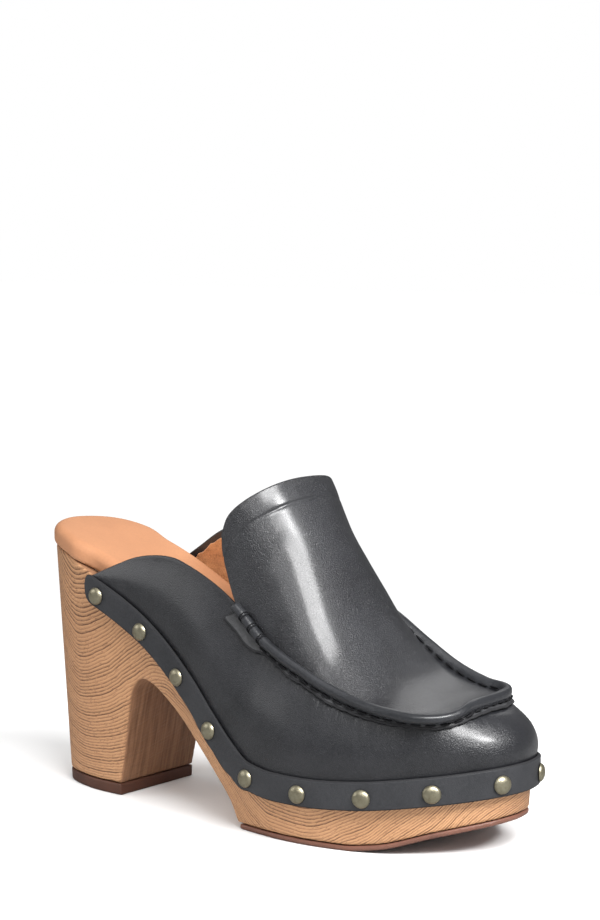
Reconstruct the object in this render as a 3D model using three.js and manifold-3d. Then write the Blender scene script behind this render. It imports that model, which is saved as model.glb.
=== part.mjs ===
// Right-foot clog with a one-piece wooden sole, a nailed leather band and a
// mule upper: a lower wall of leather and a moccasin apron that rises into a
// tongue. Millimetres, +X towards the toe, +Y towards the inner (medial)
// side, +Z up. The origin is the centre of the heel lift's bottom face.
import * as THREE from 'three';
import { mergeVertices } from 'three/addons/utils/BufferGeometryUtils.js';
import Module from 'manifold-3d';

const wasm = await Module();
wasm.setup();

// ---- driving dimensions ------------------------------------------------
const soleLength = 245;      // band outline, back of the heel to the toe
const ballWidth = 93.5;      // band outline across the ball
const heelRise = 80;         // heel seat above the ball
const platformHeight = 28;   // top of the wood above the floor at the ball
const toeRise = 9.3;         // top of the wood, toe above ball
const toeSpring = 14;        // underside of the toe above the floor
const wallDraft = 0.05;      // inward lean of the wood's wall per unit of drop
const heelLiftThick = 5.5;
const outsoleThick = 2.5;
const gap = 0.3;             // clearance between pieces that touch
const leatherThick = 1.2;
const liningThick = 0.8;
const tongueLiningThick = 0.8;
const stiffenerThick = 0.9;
const bandThick = 1.5;
const bandWidth = 10.4;      // measured square to the sole's edge
const bandBackStation = 44;  // where the band stops on both sides of the heel
const footbedHeelThick = 9.2;
const footbedFrontThick = 5;
const footbedSkin = 1.2;
const studHeadRadius = 3.8;
const studHeadRise = 2.1;
const studShankRadius = 1.1;
const studShankLength = 11;
const studCount = 18;
const studFirstInset = 5.5;   // from each end of the band to its first stud
const studLift = 0.42;       // share of the band's width below the stud
const beadRadius = 2;
const marginWidth = 3.6;
const wrapThreadRadius = 0.55;
const wrapPitch = 5.6;
const wrapCount = 3;
const seamThreadRadius = 0.35;
const liftNailRadius = 1.3;
const liftNailLength = 19;

// ---- patterns, drawn at the base size and graded to the driving sizes ----
const baseLength = 245;
const baseWidth = 93.5;
const gradeX = soleLength / baseLength;
const gradeY = ballWidth / baseWidth;

// outer outline of the band in plan: heel back, outer side, toe, inner side
const outlinePattern = [
  [1.5, 0], [9, -19], [33, -30.5], [80, -33.5], [124, -41], [165, -46], [200, -39.5],
  [228.5, -24.5], [242, -9.8], [245.5, 4.5], [240, 22.5], [230.2, 32.5], [207.8, 45],
  [175, 47.5], [130, 38], [85, 31], [37, 31], [10, 20],
];

// top edge of the wood: station, share of the heel rise, share of the toe rise
const soleLinePattern = [
  [0, 1.01, 0], [21, 0.963, 0], [42, 0.875, 0], [60, 0.781, 0], [82.5, 0.628, 0],
  [106.6, 0.404, 0], [120.4, 0.235, 0], [132, 0.103, 0], [142, 0.025, 0],
  [156, 0.002, 0], [171, 0, 0], [191, 0, 0.11], [218.6, 0, 0.5], [246, 0, 1],
];

// heel breast and arch underneath: station, height as a share of the heel seat
const breastFoot = 55;
const archPattern = [
  [58.5, 0.2], [62, 0.36], [65, 0.46], [70, 0.5], [76, 0.488], [85, 0.44], [94, 0.38],
  [106.4, 0.277], [119, 0.166], [126, 0.098],
];
const outsoleBackStation = 131;
const treadFrontStation = 188;

// top edge of the wall leather: station, offset to the side, height over the
// sole's edge; from the outer wing round the toe to the inner wing
const wallTopPattern = [
  [45, -30.3, 0.3], [56, -28.5, 9.7], [67, -28, 19], [78, -28, 27], [89, -28.3, 34],
  [99, -29, 38.6], [109, -29.7, 43], [118, -30.2, 47.5], [127.5, -30.2, 50],
  [138.5, -31, 48.8], [149.5, -31.8, 44.6], [160.5, -32.2, 39.6], [172.5, -32.5, 34.5],
  [189, -32.2, 29.2], [207.5, -31.2, 26], [218.5, -28.6, 24.2], [224.8, -19.3, 23.1],
  [226.8, 0, 22.7], [223.8, 18.6, 22.8], [217, 28, 24.2], [206.5, 30.5, 26.4],
  [192.5, 31, 32.5], [180, 30.6, 40], [168, 30.2, 48], [158, 30, 54.5], [147, 29.8, 60],
  [136, 29.6, 62.5], [122, 29, 62], [108, 28.5, 57], [96, 28, 50], [84, 28, 40],
  [70, 28, 27], [56, 28.7, 11.5], [45, 30, 0.3],
];
// entries of the wall's top edge at the two ends and the two toe corners of
// the apron's seam
const seamKeys = { outerEnd: 8, outerCorner: 15, innerCorner: 19, innerEnd: 26 };

// free side edges of the tongue above the seam, and the crest of apron and
// tongue from the toe seam up to the tongue's top edge
const tongueOuterPattern = [[122.5, -30.4, 57], [118.5, -29.8, 68.5], [121.5, -28.8, 81], [130.5, -26, 97]];
const tongueInnerPattern = [[128, 29.3, 71], [124, 28.8, 79], [127, 27.8, 90], [133, 25, 101]];
const crestPattern = [
  [226.8, 0, 22.7], [213, 0, 26.6], [195, 0, 33.6], [179, 0, 45.6], [168, 0, 59.5],
  [160, 0, 73], [153.5, 0, 84], [148, 0, 93], [143.5, 0, 99.5], [140, 0, 104.5],
  [137.7, 0, 107.4], [136, 0, 109],
];

// ---- small helpers -------------------------------------------------------
// smooth function of one number through listed pairs, without overshoot
function smoothThrough(pairs) {
  const slope = pairs.map((pair, i) => {
    if (i === 0 || i === pairs.length - 1) {
      const [a, b] = i === 0 ? [pairs[0], pairs[1]] : [pairs[i - 1], pair];
      return (b[1] - a[1]) / (b[0] - a[0]);
    }
    const before = (pair[1] - pairs[i - 1][1]) / (pair[0] - pairs[i - 1][0]);
    const after = (pairs[i + 1][1] - pair[1]) / (pairs[i + 1][0] - pair[0]);
    return before * after > 0 ? (2 * before * after) / (before + after) : 0;
  });
  return (x) => {
    let i = 0;
    while (i < pairs.length - 2 && x > pairs[i + 1][0]) {
      i += 1;
    }
    const span = pairs[i + 1][0] - pairs[i][0];
    const t = THREE.MathUtils.clamp((x - pairs[i][0]) / span, 0, 1);
    const rise = pairs[i + 1][1] - pairs[i][1];
    const a = slope[i] * span - rise;
    const b = rise - slope[i + 1] * span;
    return (1 - t) * pairs[i][1] + t * pairs[i + 1][1] + t * (1 - t) * (a * (1 - t) + b * t);
  };
}

const heelShare = smoothThrough(soleLinePattern.map((p) => [p[0] * gradeX, p[1]]));
const toeShare = smoothThrough(soleLinePattern.map((p) => [p[0] * gradeX, p[2]]));
const soleEdge = (x) => platformHeight + heelRise * heelShare(x) + toeRise * toeShare(x);
const heelSeatHeight = platformHeight + heelRise;

function slopeFactor(x) {
  const slope = soleEdge(x + 0.5) - soleEdge(x - 0.5);
  return Math.sqrt(1 + slope * slope);
}
const bandLowerEdge = (x) => soleEdge(x) - bandWidth * slopeFactor(x);

const place = ([x, y, h]) => new THREE.Vector3(x * gradeX, y * gradeY, soleEdge(x * gradeX) + h);

const curveThrough = (pattern) => new THREE.CatmullRomCurve3(pattern.map(place));

const outline = new THREE.CatmullRomCurve3(
  outlinePattern.map(([x, y]) => new THREE.Vector3(x * gradeX, y * gradeY, 0)),
  true,
);
outline.arcLengthDivisions = 1200;

// point of the outline moved inwards by a distance
function outlinePoint(t, inset) {
  const p = outline.getPointAt(((t % 1) + 1) % 1);
  const tangent = outline.getTangentAt(((t % 1) + 1) % 1);
  return new THREE.Vector3(p.x - tangent.y * inset, p.y + tangent.x * inset, 0);
}

// share of the outline's length at a station, on the outer or inner side
function outlineShare(station, side) {
  let low = side === 'outer' ? 0 : 0.5;
  let high = low + 0.5;
  for (let i = 0; i < 40; i += 1) {
    const middle = (low + high) / 2;
    const ahead = outline.getPointAt(middle % 1).x > station;
    if (ahead === (side === 'outer')) {
      high = middle;
    } else {
      low = middle;
    }
  }
  return (low + high) / 2;
}

function nearestOutlineShare(point) {
  const distance = (t) => outline.getPointAt(((t % 1) + 1) % 1).setZ(point.z).distanceTo(point);
  let best = 0;
  for (let i = 1; i < 240; i += 1) {
    best = distance(i / 240) < distance(best) ? i / 240 : best;
  }
  for (let step = 1 / 480; step > 1e-6; step /= 2) {
    for (const t of [best - step, best + step]) {
      best = distance(t) < distance(best) ? t : best;
    }
  }
  return best;
}

function geometryFrom(vertices, triangles) {
  const geometry = new THREE.BufferGeometry();
  geometry.setAttribute('position', new THREE.Float32BufferAttribute(vertices, 3));
  geometry.setIndex(triangles);
  return geometry;
}

// closed sheet between two grids of points: outside[i][j] and inside[i][j]
function sheetBetween(outside, inside) {
  const rows = outside.length;
  const columns = outside[0].length;
  const vertices = [];
  for (const grid of [outside, inside]) {
    grid.forEach((row) => row.forEach((p) => vertices.push(p.x, p.y, p.z)));
  }
  const triangles = [];
  const at = (i, j, layer) => layer * rows * columns + i * columns + j;
  const quad = (a, b, c, d) => triangles.push(a, b, c, a, c, d);
  for (let i = 0; i < rows - 1; i += 1) {
    for (let j = 0; j < columns - 1; j += 1) {
      quad(at(i, j, 0), at(i + 1, j, 0), at(i + 1, j + 1, 0), at(i, j + 1, 0));
      quad(at(i, j, 1), at(i, j + 1, 1), at(i + 1, j + 1, 1), at(i + 1, j, 1));
    }
    quad(at(i, 0, 0), at(i, 0, 1), at(i + 1, 0, 1), at(i + 1, 0, 0));
    const last = columns - 1;
    quad(at(i, last, 0), at(i + 1, last, 0), at(i + 1, last, 1), at(i, last, 1));
  }
  for (let j = 0; j < columns - 1; j += 1) {
    quad(at(0, j, 0), at(0, j + 1, 0), at(0, j + 1, 1), at(0, j, 1));
    const end = rows - 1;
    quad(at(end, j, 0), at(end, j, 1), at(end, j + 1, 1), at(end, j + 1, 0));
  }
  return geometryFrom(vertices, triangles);
}

// closed prism between two rings of points, with flat or ruled ends
function prismBetween(bottomRing, topRing) {
  const count = bottomRing.length;
  const vertices = [];
  [...bottomRing, ...topRing].forEach((p) => vertices.push(p.x, p.y, p.z));
  const triangles = [];
  for (let i = 0; i < count; i += 1) {
    const next = (i + 1) % count;
    triangles.push(i, next, count + next, i, count + next, count + i);
  }
  const flat = bottomRing.map((p) => new THREE.Vector2(p.x, p.y));
  for (const [a, b, c] of THREE.ShapeUtils.triangulateShape(flat, [])) {
    triangles.push(a, c, b, count + a, count + b, count + c);
  }
  return geometryFrom(vertices, triangles);
}

function solid(geometry) {
  const plain = geometry.clone();
  plain.deleteAttribute('normal');
  plain.deleteAttribute('uv');
  const merged = mergeVertices(plain, 1e-4);
  const mesh = new wasm.Mesh({
    numProp: 3,
    vertProperties: Float32Array.from(merged.attributes.position.array),
    triVerts: Uint32Array.from(merged.index.array),
  });
  return new wasm.Manifold(mesh);
}

function geometryOf(manifold) {
  const mesh = manifold.getMesh();
  return geometryFrom(Array.from(mesh.vertProperties), Array.from(mesh.triVerts));
}

const clog = new THREE.Group();
const materials = {};

function finish(name, color, roughness, metalness) {
  materials[name] = new THREE.MeshStandardMaterial({ color, roughness, metalness });
}

function addPiece(name, shape, material) {
  const geometry = shape.isBufferGeometry ? shape : geometryOf(shape);
  geometry.computeVertexNormals();
  const mesh = new THREE.Mesh(geometry, materials[material]);
  mesh.name = name;
  clog.add(mesh);
}

finish('wood', 0xc8966e, 0.6, 0);
finish('liftRubber', 0x5c3325, 0.5, 0);
finish('outsoleRubber', 0x7a4534, 0.6, 0);
finish('greyLeather', 0x3c4047, 0.35, 0);
finish('suedeLining', 0xb5703a, 0.9, 0);
finish('footbedLeather', 0xdc9c6c, 0.55, 0);
finish('foam', 0xe6ddc8, 0.9, 0);
finish('stiffener', 0x9a8f7a, 0.8, 0);
finish('antiqueBrass', 0x9d977f, 0.35, 0.9);
finish('waxedThread', 0x1b1c20, 0.7, 0);
finish('steel', 0x8c8f92, 0.35, 1);

// ---- wooden sole, lift and outsole --------------------------------------
const wallInset = bandThick + gap + leatherThick + gap;
const planSteps = 84;
const treadSteps = 42;

// wall of the sole in plan: leans inwards as it drops from the sole's edge
function solePrism(steps, low, high) {
  const ring = (z) => Array.from({ length: steps }, (_, i) => {
    const t = i / steps;
    const lean = wallDraft * (soleEdge(outlinePoint(t, wallInset).x) - z);
    return outlinePoint(t, wallInset + lean).setZ(z);
  });
  return solid(prismBetween(ring(low), ring(high)));
}

// slab right across the sole, between two lines drawn in side view
function sideSlab(lower, upper) {
  const shape = new THREE.Shape([...lower, ...[...upper].reverse()]);
  const slabWidth = 2 * ballWidth;
  const slab = new THREE.ExtrudeGeometry(shape, { depth: slabWidth, bevelEnabled: false });
  slab.rotateX(Math.PI / 2);
  slab.translate(0, slabWidth / 2, 0);
  return solid(slab);
}

function sideLine(height, from, to, steps) {
  return Array.from({ length: steps + 1 }, (_, i) => {
    const x = from + ((to - from) * i) / steps;
    return new THREE.Vector2(x, height(x));
  });
}

const backEnd = -10;
const frontEnd = soleLength + 10;
const treadFront = treadFrontStation * gradeX;
const outsoleBack = outsoleBackStation * gradeX;
const breastX = breastFoot * gradeX;
const springCurve = smoothThrough([
  [treadFront, 0], [201 * gradeX, 0.13], [220 * gradeX, 0.55], [soleLength, 1.02],
  [frontEnd, 1.22],
]);
const treadHeight = (x) => (x < treadFront ? 0 : toeSpring * springCurve(x));

// stations run from the breast to the start of the tread
function archLine(lift) {
  const points = archPattern.map(([x, share]) => (
    new THREE.Vector3(x * gradeX, 0, share * heelSeatHeight)
  ));
  points.unshift(new THREE.Vector3(breastX, 0, heelLiftThick));
  points.push(new THREE.Vector3(outsoleBack, 0, outsoleThick));
  const curve = new THREE.CatmullRomCurve3(points);
  return curve.getPoints(26).map((p) => new THREE.Vector2(p.x, p.z + lift));
}

const woodUnderside = [
  new THREE.Vector2(backEnd, heelLiftThick),
  ...archLine(0),
  ...sideLine((x) => treadHeight(x) + outsoleThick, outsoleBack + 2, frontEnd, 16),
];
const woodTop = sideLine(soleEdge, backEnd, frontEnd, 64);
const tallest = heelSeatHeight + 15;
let woodSole = sideSlab(woodUnderside, woodTop).intersect(solePrism(planSteps, -1, tallest));

const liftTop = heelLiftThick - gap;
const liftSlab = sideSlab(
  [new THREE.Vector2(backEnd, 0), new THREE.Vector2(breastX, 0)],
  [new THREE.Vector2(backEnd, liftTop), new THREE.Vector2(breastX, liftTop)],
);
const treadPrism = solePrism(treadSteps, -1, heelSeatHeight / 2);
let heelLift = liftSlab.intersect(treadPrism);

const outsoleSlab = sideSlab(
  [new THREE.Vector2(outsoleBack + 1, 0), ...sideLine(treadHeight, outsoleBack + 3, frontEnd, 16)],
  sideLine((x) => treadHeight(x) + outsoleThick - gap, outsoleBack + 1, frontEnd, 17),
);
addPiece('forefoot_outsole', outsoleSlab.intersect(treadPrism), 'outsoleRubber');

// ---- footbed --------------------------------------------------------------
// flush with the wood at the heel, inside the upper further forward
const heelSeatEnd = bandBackStation * gradeX - 15;
const underUpperStart = bandBackStation * gradeX;
const upperInset = wallInset + liningThick + 2 * gap + stiffenerThick + 1.2;
function footbedInset(x) {
  const t = THREE.MathUtils.smoothstep(x, heelSeatEnd, underUpperStart);
  return THREE.MathUtils.lerp(wallInset, upperInset, t);
}

function footbedPrism(extra) {
  const ring = (z) => Array.from({ length: planSteps }, (_, i) => {
    const t = i / planSteps;
    const inset = footbedInset(outlinePoint(t, wallInset).x);
    return outlinePoint(t, inset + extra).setZ(z);
  });
  return solid(prismBetween(ring(platformHeight / 2), ring(tallest + footbedHeelThick)));
}

const footbedThickness = smoothThrough([
  [backEnd, footbedHeelThick], [60 * gradeX, footbedHeelThick], [150 * gradeX, footbedFrontThick],
  [frontEnd, footbedFrontThick],
]);

// layer of the footbed whose top lies a skin's depth under the footbed's top
function footbedLayer(low, depth, extra) {
  return sideSlab(
    sideLine((x) => soleEdge(x) + low, backEnd, frontEnd, 40),
    sideLine((x) => soleEdge(x) + footbedThickness(x) - depth, backEnd, frontEnd, 40),
  ).intersect(footbedPrism(extra));
}

const coverHollow = footbedLayer(-1, footbedSkin, footbedSkin);
addPiece('footbed_cover', footbedLayer(gap, 0, 0).subtract(coverHollow), 'footbedLeather');
addPiece('footbed_foam', footbedLayer(gap, footbedSkin + gap, footbedSkin + gap), 'foam');

// ---- wall of the upper ----------------------------------------------------
const wallTop = curveThrough(wallTopPattern);
const skirtDepth = bandWidth - 3;      // leather tucked behind the band
const wallFullness = 2.6;              // how far the wall swells past its foot
const wallInsetAtFoot = bandThick + gap;

const wallKeys = wallTop.points.map((point, i) => [
  nearestOutlineShare(point), i / (wallTop.points.length - 1),
]);
const wallTopShare = smoothThrough(wallKeys);

// one line of the wall's outer face, from under the band to its top edge,
// at a share of the outline's length
function wallRib(share, count) {
  const top = wallTop.getPoint(wallTopShare(share));
  const foot = outlinePoint(share, wallInsetAtFoot);
  const outward = foot.clone().sub(outlinePoint(share, wallInsetAtFoot + 1));
  const footZ = soleEdge(foot.x);
  foot.setZ(Math.min(footZ, top.z));
  const rise = top.z - foot.z;
  const lean = new THREE.Vector3(top.x - foot.x, top.y - foot.y, 0);
  const steep = (rise / (rise + lean.length() + 0.1)) ** 4;
  const swell = wallFullness * THREE.MathUtils.smoothstep(rise, 3, 25);
  const lower = foot.clone().add(new THREE.Vector3(0, 0, rise * 0.5)).addScaledVector(outward, swell);
  const upper = top.clone().addScaledVector(lean, -0.6 * (1 - 0.5 * steep));
  upper.z -= rise * 0.5 * steep;
  const curve = new THREE.CubicBezierCurve3(foot, lower, upper, top);
  const skirt = foot.clone().setZ(foot.z - skirtDepth);
  const tuck = foot.clone().setZ(foot.z - 0.5);
  const points = [skirt, tuck];
  for (let j = 1; j <= count; j += 1) {
    points.push(curve.getPoint(j / count));
  }
  return points;
}

function gridNormals(grid) {
  return grid.map((row, i) => row.map((_, j) => {
    const before = grid[Math.max(i - 1, 0)][j];
    const after = grid[Math.min(i + 1, grid.length - 1)][j];
    const below = row[Math.max(j - 1, 0)];
    const above = row[Math.min(j + 1, row.length - 1)];
    const along = after.clone().sub(before);
    return along.cross(above.clone().sub(below)).normalize();
  }));
}

function offsetGrid(grid, normals, distance) {
  return grid.map((row, i) => row.map((p, j) => {
    const d = typeof distance === 'function' ? distance(i, j) : distance;
    return p.clone().addScaledVector(normals[i][j], d);
  }));
}

function ribGrid(rib, from, to, rows, columns) {
  return Array.from({ length: rows + 1 }, (_, i) => rib(from + ((to - from) * i) / rows, columns));
}

const wallRows = 64;
const wallColumns = 6;
const wallFrom = wallKeys[0][0];
const wallTo = wallKeys[wallKeys.length - 1][0];
const wallGrid = ribGrid(wallRib, wallFrom, wallTo, wallRows, wallColumns);
const wallNormals = gridNormals(wallGrid);
const wallOuter = wallGrid;
const wallInner = offsetGrid(wallGrid, wallNormals, -leatherThick);
let vamp = solid(sheetBetween(wallOuter, wallInner));

const part = (grid, rowFrom, rowTo, columnFrom, columnTo) => (
  grid.slice(rowFrom, rowTo).map((row) => row.slice(columnFrom, columnTo))
);

// closed sheet that follows part of the wall, this far under its outer face
function underWall(rows, columns, depth, thickness) {
  const grid = part(wallGrid, ...rows, ...columns);
  const normals = part(wallNormals, ...rows, ...columns);
  const under = (extra) => offsetGrid(grid, normals, (i) => -depth(grid[i][0].x) - extra);
  return sheetBetween(under(0), under(thickness));
}

const underLeather = leatherThick + gap;
const stiffenerBack = 188 * gradeX;
const stiffenerRows = wallGrid.map((row, i) => (row[0].x > stiffenerBack ? i : -1)).filter((i) => i >= 0);
const stiffenerSpan = [stiffenerRows[0], stiffenerRows[stiffenerRows.length - 1] + 1];
addPiece('toe_stiffener', underWall(
  stiffenerSpan, [3, wallColumns + 1], () => underLeather, stiffenerThick,
), 'stiffener');

// the lining passes inside the stiffener at the toe
const liningDepth = (x) => {
  const step = THREE.MathUtils.smoothstep(x, stiffenerBack - 14, stiffenerBack - 5);
  return underLeather + (stiffenerThick + gap) * step;
};
addPiece('vamp_lining', underWall(
  [2, wallRows - 1], [2, wallColumns + 1], liningDepth, liningThick,
), 'suedeLining');

// ---- apron with its seam, and the tongue ---------------------------------
const outerSeam = wallTopPattern.slice(seamKeys.outerEnd, seamKeys.outerCorner + 1).reverse();
const innerSeam = wallTopPattern.slice(seamKeys.innerCorner, seamKeys.innerEnd + 1);
const apronOuterEdge = curveThrough([...outerSeam, ...tongueOuterPattern]);
const apronInnerEdge = curveThrough([...innerSeam, ...tongueInnerPattern]);
const apronCrest = curveThrough(crestPattern);

const outerFullness = 0.64;
const innerFullness = 0.74;

// half of one cross line of the apron, from its side edge up to the crest
function apronHalf(edge, crest, fullness) {
  const climb = new THREE.Vector3(crest.x - edge.x, 0, crest.z - edge.z);
  const across = new THREE.Vector3(0, crest.y - edge.y, 0);
  const slack = 0.25 * Math.exp(-climb.length() / 18);
  const lower = edge.clone().addScaledVector(climb, 0.6).addScaledVector(across, slack);
  const upper = crest.clone().addScaledVector(across, -fullness);
  return new THREE.CubicBezierCurve3(edge, lower, upper, crest);
}

function apronRib(v, count) {
  const crest = apronCrest.getPoint(v);
  const outer = apronHalf(apronOuterEdge.getPoint(v), crest, outerFullness).getPoints(count);
  const inner = apronHalf(apronInnerEdge.getPoint(v), crest, innerFullness).getPoints(count);
  return [...outer, ...inner.reverse().slice(1)];
}

const apronRows = 24;
const apronHalfColumns = 6;
const apronGrid = ribGrid(apronRib, 0.02, 1, apronRows, apronHalfColumns);
// at the side edges the two directions of the grid can run together, so the
// edge takes its neighbour's normal
const apronNormals = gridNormals(apronGrid).map((row) => row.map((_, j) => (
  row[THREE.MathUtils.clamp(j, 1, row.length - 2)].clone().negate()
)));
const apronOuter = offsetGrid(apronGrid, apronNormals, gap + leatherThick);
const apronInner = offsetGrid(apronGrid, apronNormals, gap);
const crown = solid(sheetBetween(apronInner, apronOuter));

// margin lapped over the wall, and the raised bead along the seam
// its rows are the wall's own, so that both bend at the same places
const rowOfShare = (share) => Math.round((wallRows * (share - wallFrom)) / (wallTo - wallFrom));
const shareOfRow = (i) => wallFrom + ((wallTo - wallFrom) * i) / wallRows;
const seamFirstRow = rowOfShare(wallKeys[seamKeys.outerEnd][0]);
const seamLastRow = rowOfShare(wallKeys[seamKeys.innerEnd][0]);
const seamRows = seamLastRow - seamFirstRow;

// point of a wall rib this far from its top edge
function belowTop(line, distance) {
  const top = line[line.length - 1];
  const next = line.findIndex((p) => p.distanceTo(top) < distance);
  const far = line[next - 1].distanceTo(top);
  const near = line[next].distanceTo(top);
  return line[next - 1].clone().lerp(line[next], (far - distance) / (far - near));
}
const threadOffset = beadRadius + gap + seamThreadRadius;
const marginLine = (share) => {
  const line = wallRib(share, 160);
  return [belowTop(line, marginWidth), belowTop(line, threadOffset), line[line.length - 1]];
};
const marginGrid = ribGrid(marginLine, shareOfRow(seamFirstRow), shareOfRow(seamLastRow), seamRows, 0);
const marginNormals = gridNormals(marginGrid);
const margin = solid(sheetBetween(
  offsetGrid(marginGrid, marginNormals, gap + leatherThick),
  offsetGrid(marginGrid, marginNormals, gap),
));

// at each row of the seam: the bead's middle, and the directions up from the
// leather and out across the margin
const beadMiddles = marginGrid.map((row, i) => (
  row[2].clone().addScaledVector(marginNormals[i][2], gap + beadRadius)
));
const seamUps = marginNormals.map((row) => row[2]);
const seamAcross = beadMiddles.map((_, i) => {
  const before = beadMiddles[Math.max(i - 1, 0)];
  const after = beadMiddles[Math.min(i + 1, seamRows)];
  return after.clone().sub(before).cross(seamUps[i]).normalize();
});

// closed tube with one section at each row of the seam
function seamTube(middles, radius, sides) {
  const vertices = [];
  const triangles = [];
  const at = (i, k) => i * sides + (k % sides);
  middles.forEach((middle, i) => {
    for (let k = 0; k < sides; k += 1) {
      const angle = (2 * Math.PI * k) / sides;
      const p = middle.clone().addScaledVector(seamAcross[i], radius * Math.cos(angle))
        .addScaledVector(seamUps[i], radius * Math.sin(angle));
      vertices.push(p.x, p.y, p.z);
      if (i < middles.length - 1) {
        triangles.push(at(i, k), at(i + 1, k), at(i + 1, k + 1));
        triangles.push(at(i, k), at(i + 1, k + 1), at(i, k + 1));
      }
    }
  });
  for (let k = 1; k < sides - 1; k += 1) {
    triangles.push(at(0, 0), at(0, k), at(0, k + 1));
    triangles.push(at(seamRows, 0), at(seamRows, k + 1), at(seamRows, k));
  }
  return geometryFrom(vertices, triangles);
}

const beadPath = new THREE.CatmullRomCurve3(beadMiddles);

function tube(path, radius, steps, sides) {
  const section = new THREE.Shape(Array.from({ length: sides }, (_, i) => {
    const angle = (2 * Math.PI * i) / sides;
    return new THREE.Vector2(radius * Math.cos(angle), radius * Math.sin(angle));
  }));
  return new THREE.ExtrudeGeometry(section, { steps, extrudePath: path, bevelEnabled: false });
}

// the thread lies beside the bead and clear of the margin under it
const threadHeight = Math.max(gap + beadRadius, leatherThick + 3 * gap + seamThreadRadius);
const threadMiddles = beadMiddles.map((middle, i) => (
  middle.clone().addScaledVector(seamAcross[i], threadOffset)
    .addScaledVector(seamUps[i], threadHeight - gap - beadRadius)
));
addPiece('seam_thread', seamTube(threadMiddles, seamThreadRadius, 5), 'waxedThread');

// short turns of thread round each back end of the bead
const wrapReach = beadRadius + gap + wrapThreadRadius;
const wrapHalfAngle = 0.9;
for (const [side, fromEnd] of [['outer', 0], ['inner', 1]]) {
  for (let k = 1; k <= wrapCount; k += 1) {
    const along = (k * wrapPitch) / beadPath.getLength();
    const share = Math.abs(fromEnd - along);
    const middle = beadPath.getPointAt(share);
    const row = Math.round(share * seamRows);
    const up = marginNormals[row][2];
    const across = beadPath.getTangentAt(share).cross(up).normalize();
    const turn = Array.from({ length: 7 }, (_, i) => {
      const angle = wrapHalfAngle * (i / 3 - 1);
      return middle.clone().addScaledVector(up, wrapReach * Math.cos(angle))
        .addScaledVector(across, wrapReach * Math.sin(angle));
    });
    const wrap = tube(new THREE.CatmullRomCurve3(turn), wrapThreadRadius, 8, 6);
    addPiece(`wrap_${side}_${k}`, wrap, 'waxedThread');
  }
}

const bead = solid(seamTube(beadMiddles, beadRadius, 8));
const apron = crown.add(margin).add(bead);
addPiece('apron_tongue', apron, 'greyLeather');

const tongueRows = [3, apronRows - 1];
const tongueColumns = [1, 2 * apronHalfColumns];
addPiece('tongue_lining', sheetBetween(
  offsetGrid(part(apronGrid, ...tongueRows, ...tongueColumns),
    part(apronNormals, ...tongueRows, ...tongueColumns), -tongueLiningThick),
  part(apronGrid, ...tongueRows, ...tongueColumns),
), 'suedeLining');

// ---- nailed band and its studs -------------------------------------------
const bandFrom = outlineShare(bandBackStation * gradeX, 'outer');
const bandTo = outlineShare(bandBackStation * gradeX, 'inner');
const bandRows = wallRows;
const bandLine = (inset) => (t) => {
  const p = outlinePoint(t, inset);
  const reference = outlinePoint(t, wallInset).x;
  return [p.clone().setZ(bandLowerEdge(reference)), p.clone().setZ(soleEdge(reference))];
};
let band = solid(sheetBetween(
  ribGrid(bandLine(0), bandFrom, bandTo, bandRows, 0),
  ribGrid(bandLine(bandThick), bandFrom, bandTo, bandRows, 0),
));

function studGeometry() {
  const seat = gap;                    // the head stands on the band
  const profile = [
    [0, seat + studHeadRise], [studHeadRadius * 0.55, seat + studHeadRise * 0.82],
    [studHeadRadius * 0.87, seat + studHeadRise * 0.45], [studHeadRadius, seat],
    [studShankRadius, seat], [studShankRadius, 2 - studShankLength],
    [0, -studShankLength],
  ];
  const points = profile.map(([r, h]) => new THREE.Vector2(r, h)).reverse();
  return new THREE.LatheGeometry(points, 10);
}

function shankHole(radius) {
  const profile = [[0, 3], [radius, 3], [radius, -studShankLength - 1], [0, -studShankLength - 1]];
  return new THREE.LatheGeometry(profile.map(([r, h]) => new THREE.Vector2(r, h)).reverse(), 6);
}

// the studs are evenly spaced along the slope of the band
const studLine = new THREE.CatmullRomCurve3(
  ribGrid(bandLine(0), bandFrom, bandTo, 120, 0).map(([low, high]) => low.lerp(high, studLift)),
);
studLine.arcLengthDivisions = 1200;
const studHoles = [];
for (let k = 0; k < studCount; k += 1) {
  const firstShare = studFirstInset / studLine.getLength();
  const share = firstShare + ((1 - 2 * firstShare) * k) / (studCount - 1);
  const seat = studLine.getPointAt(share);
  const along = studLine.getTangentAt(share);
  const outward = new THREE.Vector3(along.y, -along.x, 0).normalize();
  const turn = new THREE.Quaternion().setFromUnitVectors(new THREE.Vector3(0, 1, 0), outward);
  const placeAt = new THREE.Matrix4().compose(seat, turn, new THREE.Vector3(1, 1, 1));
  const stud = studGeometry().applyMatrix4(placeAt);
  addPiece(`stud_${String(k + 1).padStart(2, '0')}`, solid(stud), 'antiqueBrass');
  studHoles.push(solid(shankHole(studShankRadius + gap).applyMatrix4(placeAt)));
}
for (const hole of studHoles) {
  band = band.subtract(hole);
  vamp = vamp.subtract(hole);
  woodSole = woodSole.subtract(hole);
}
addPiece('nailed_band', band, 'greyLeather');
addPiece('vamp_wall', vamp, 'greyLeather');

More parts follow.
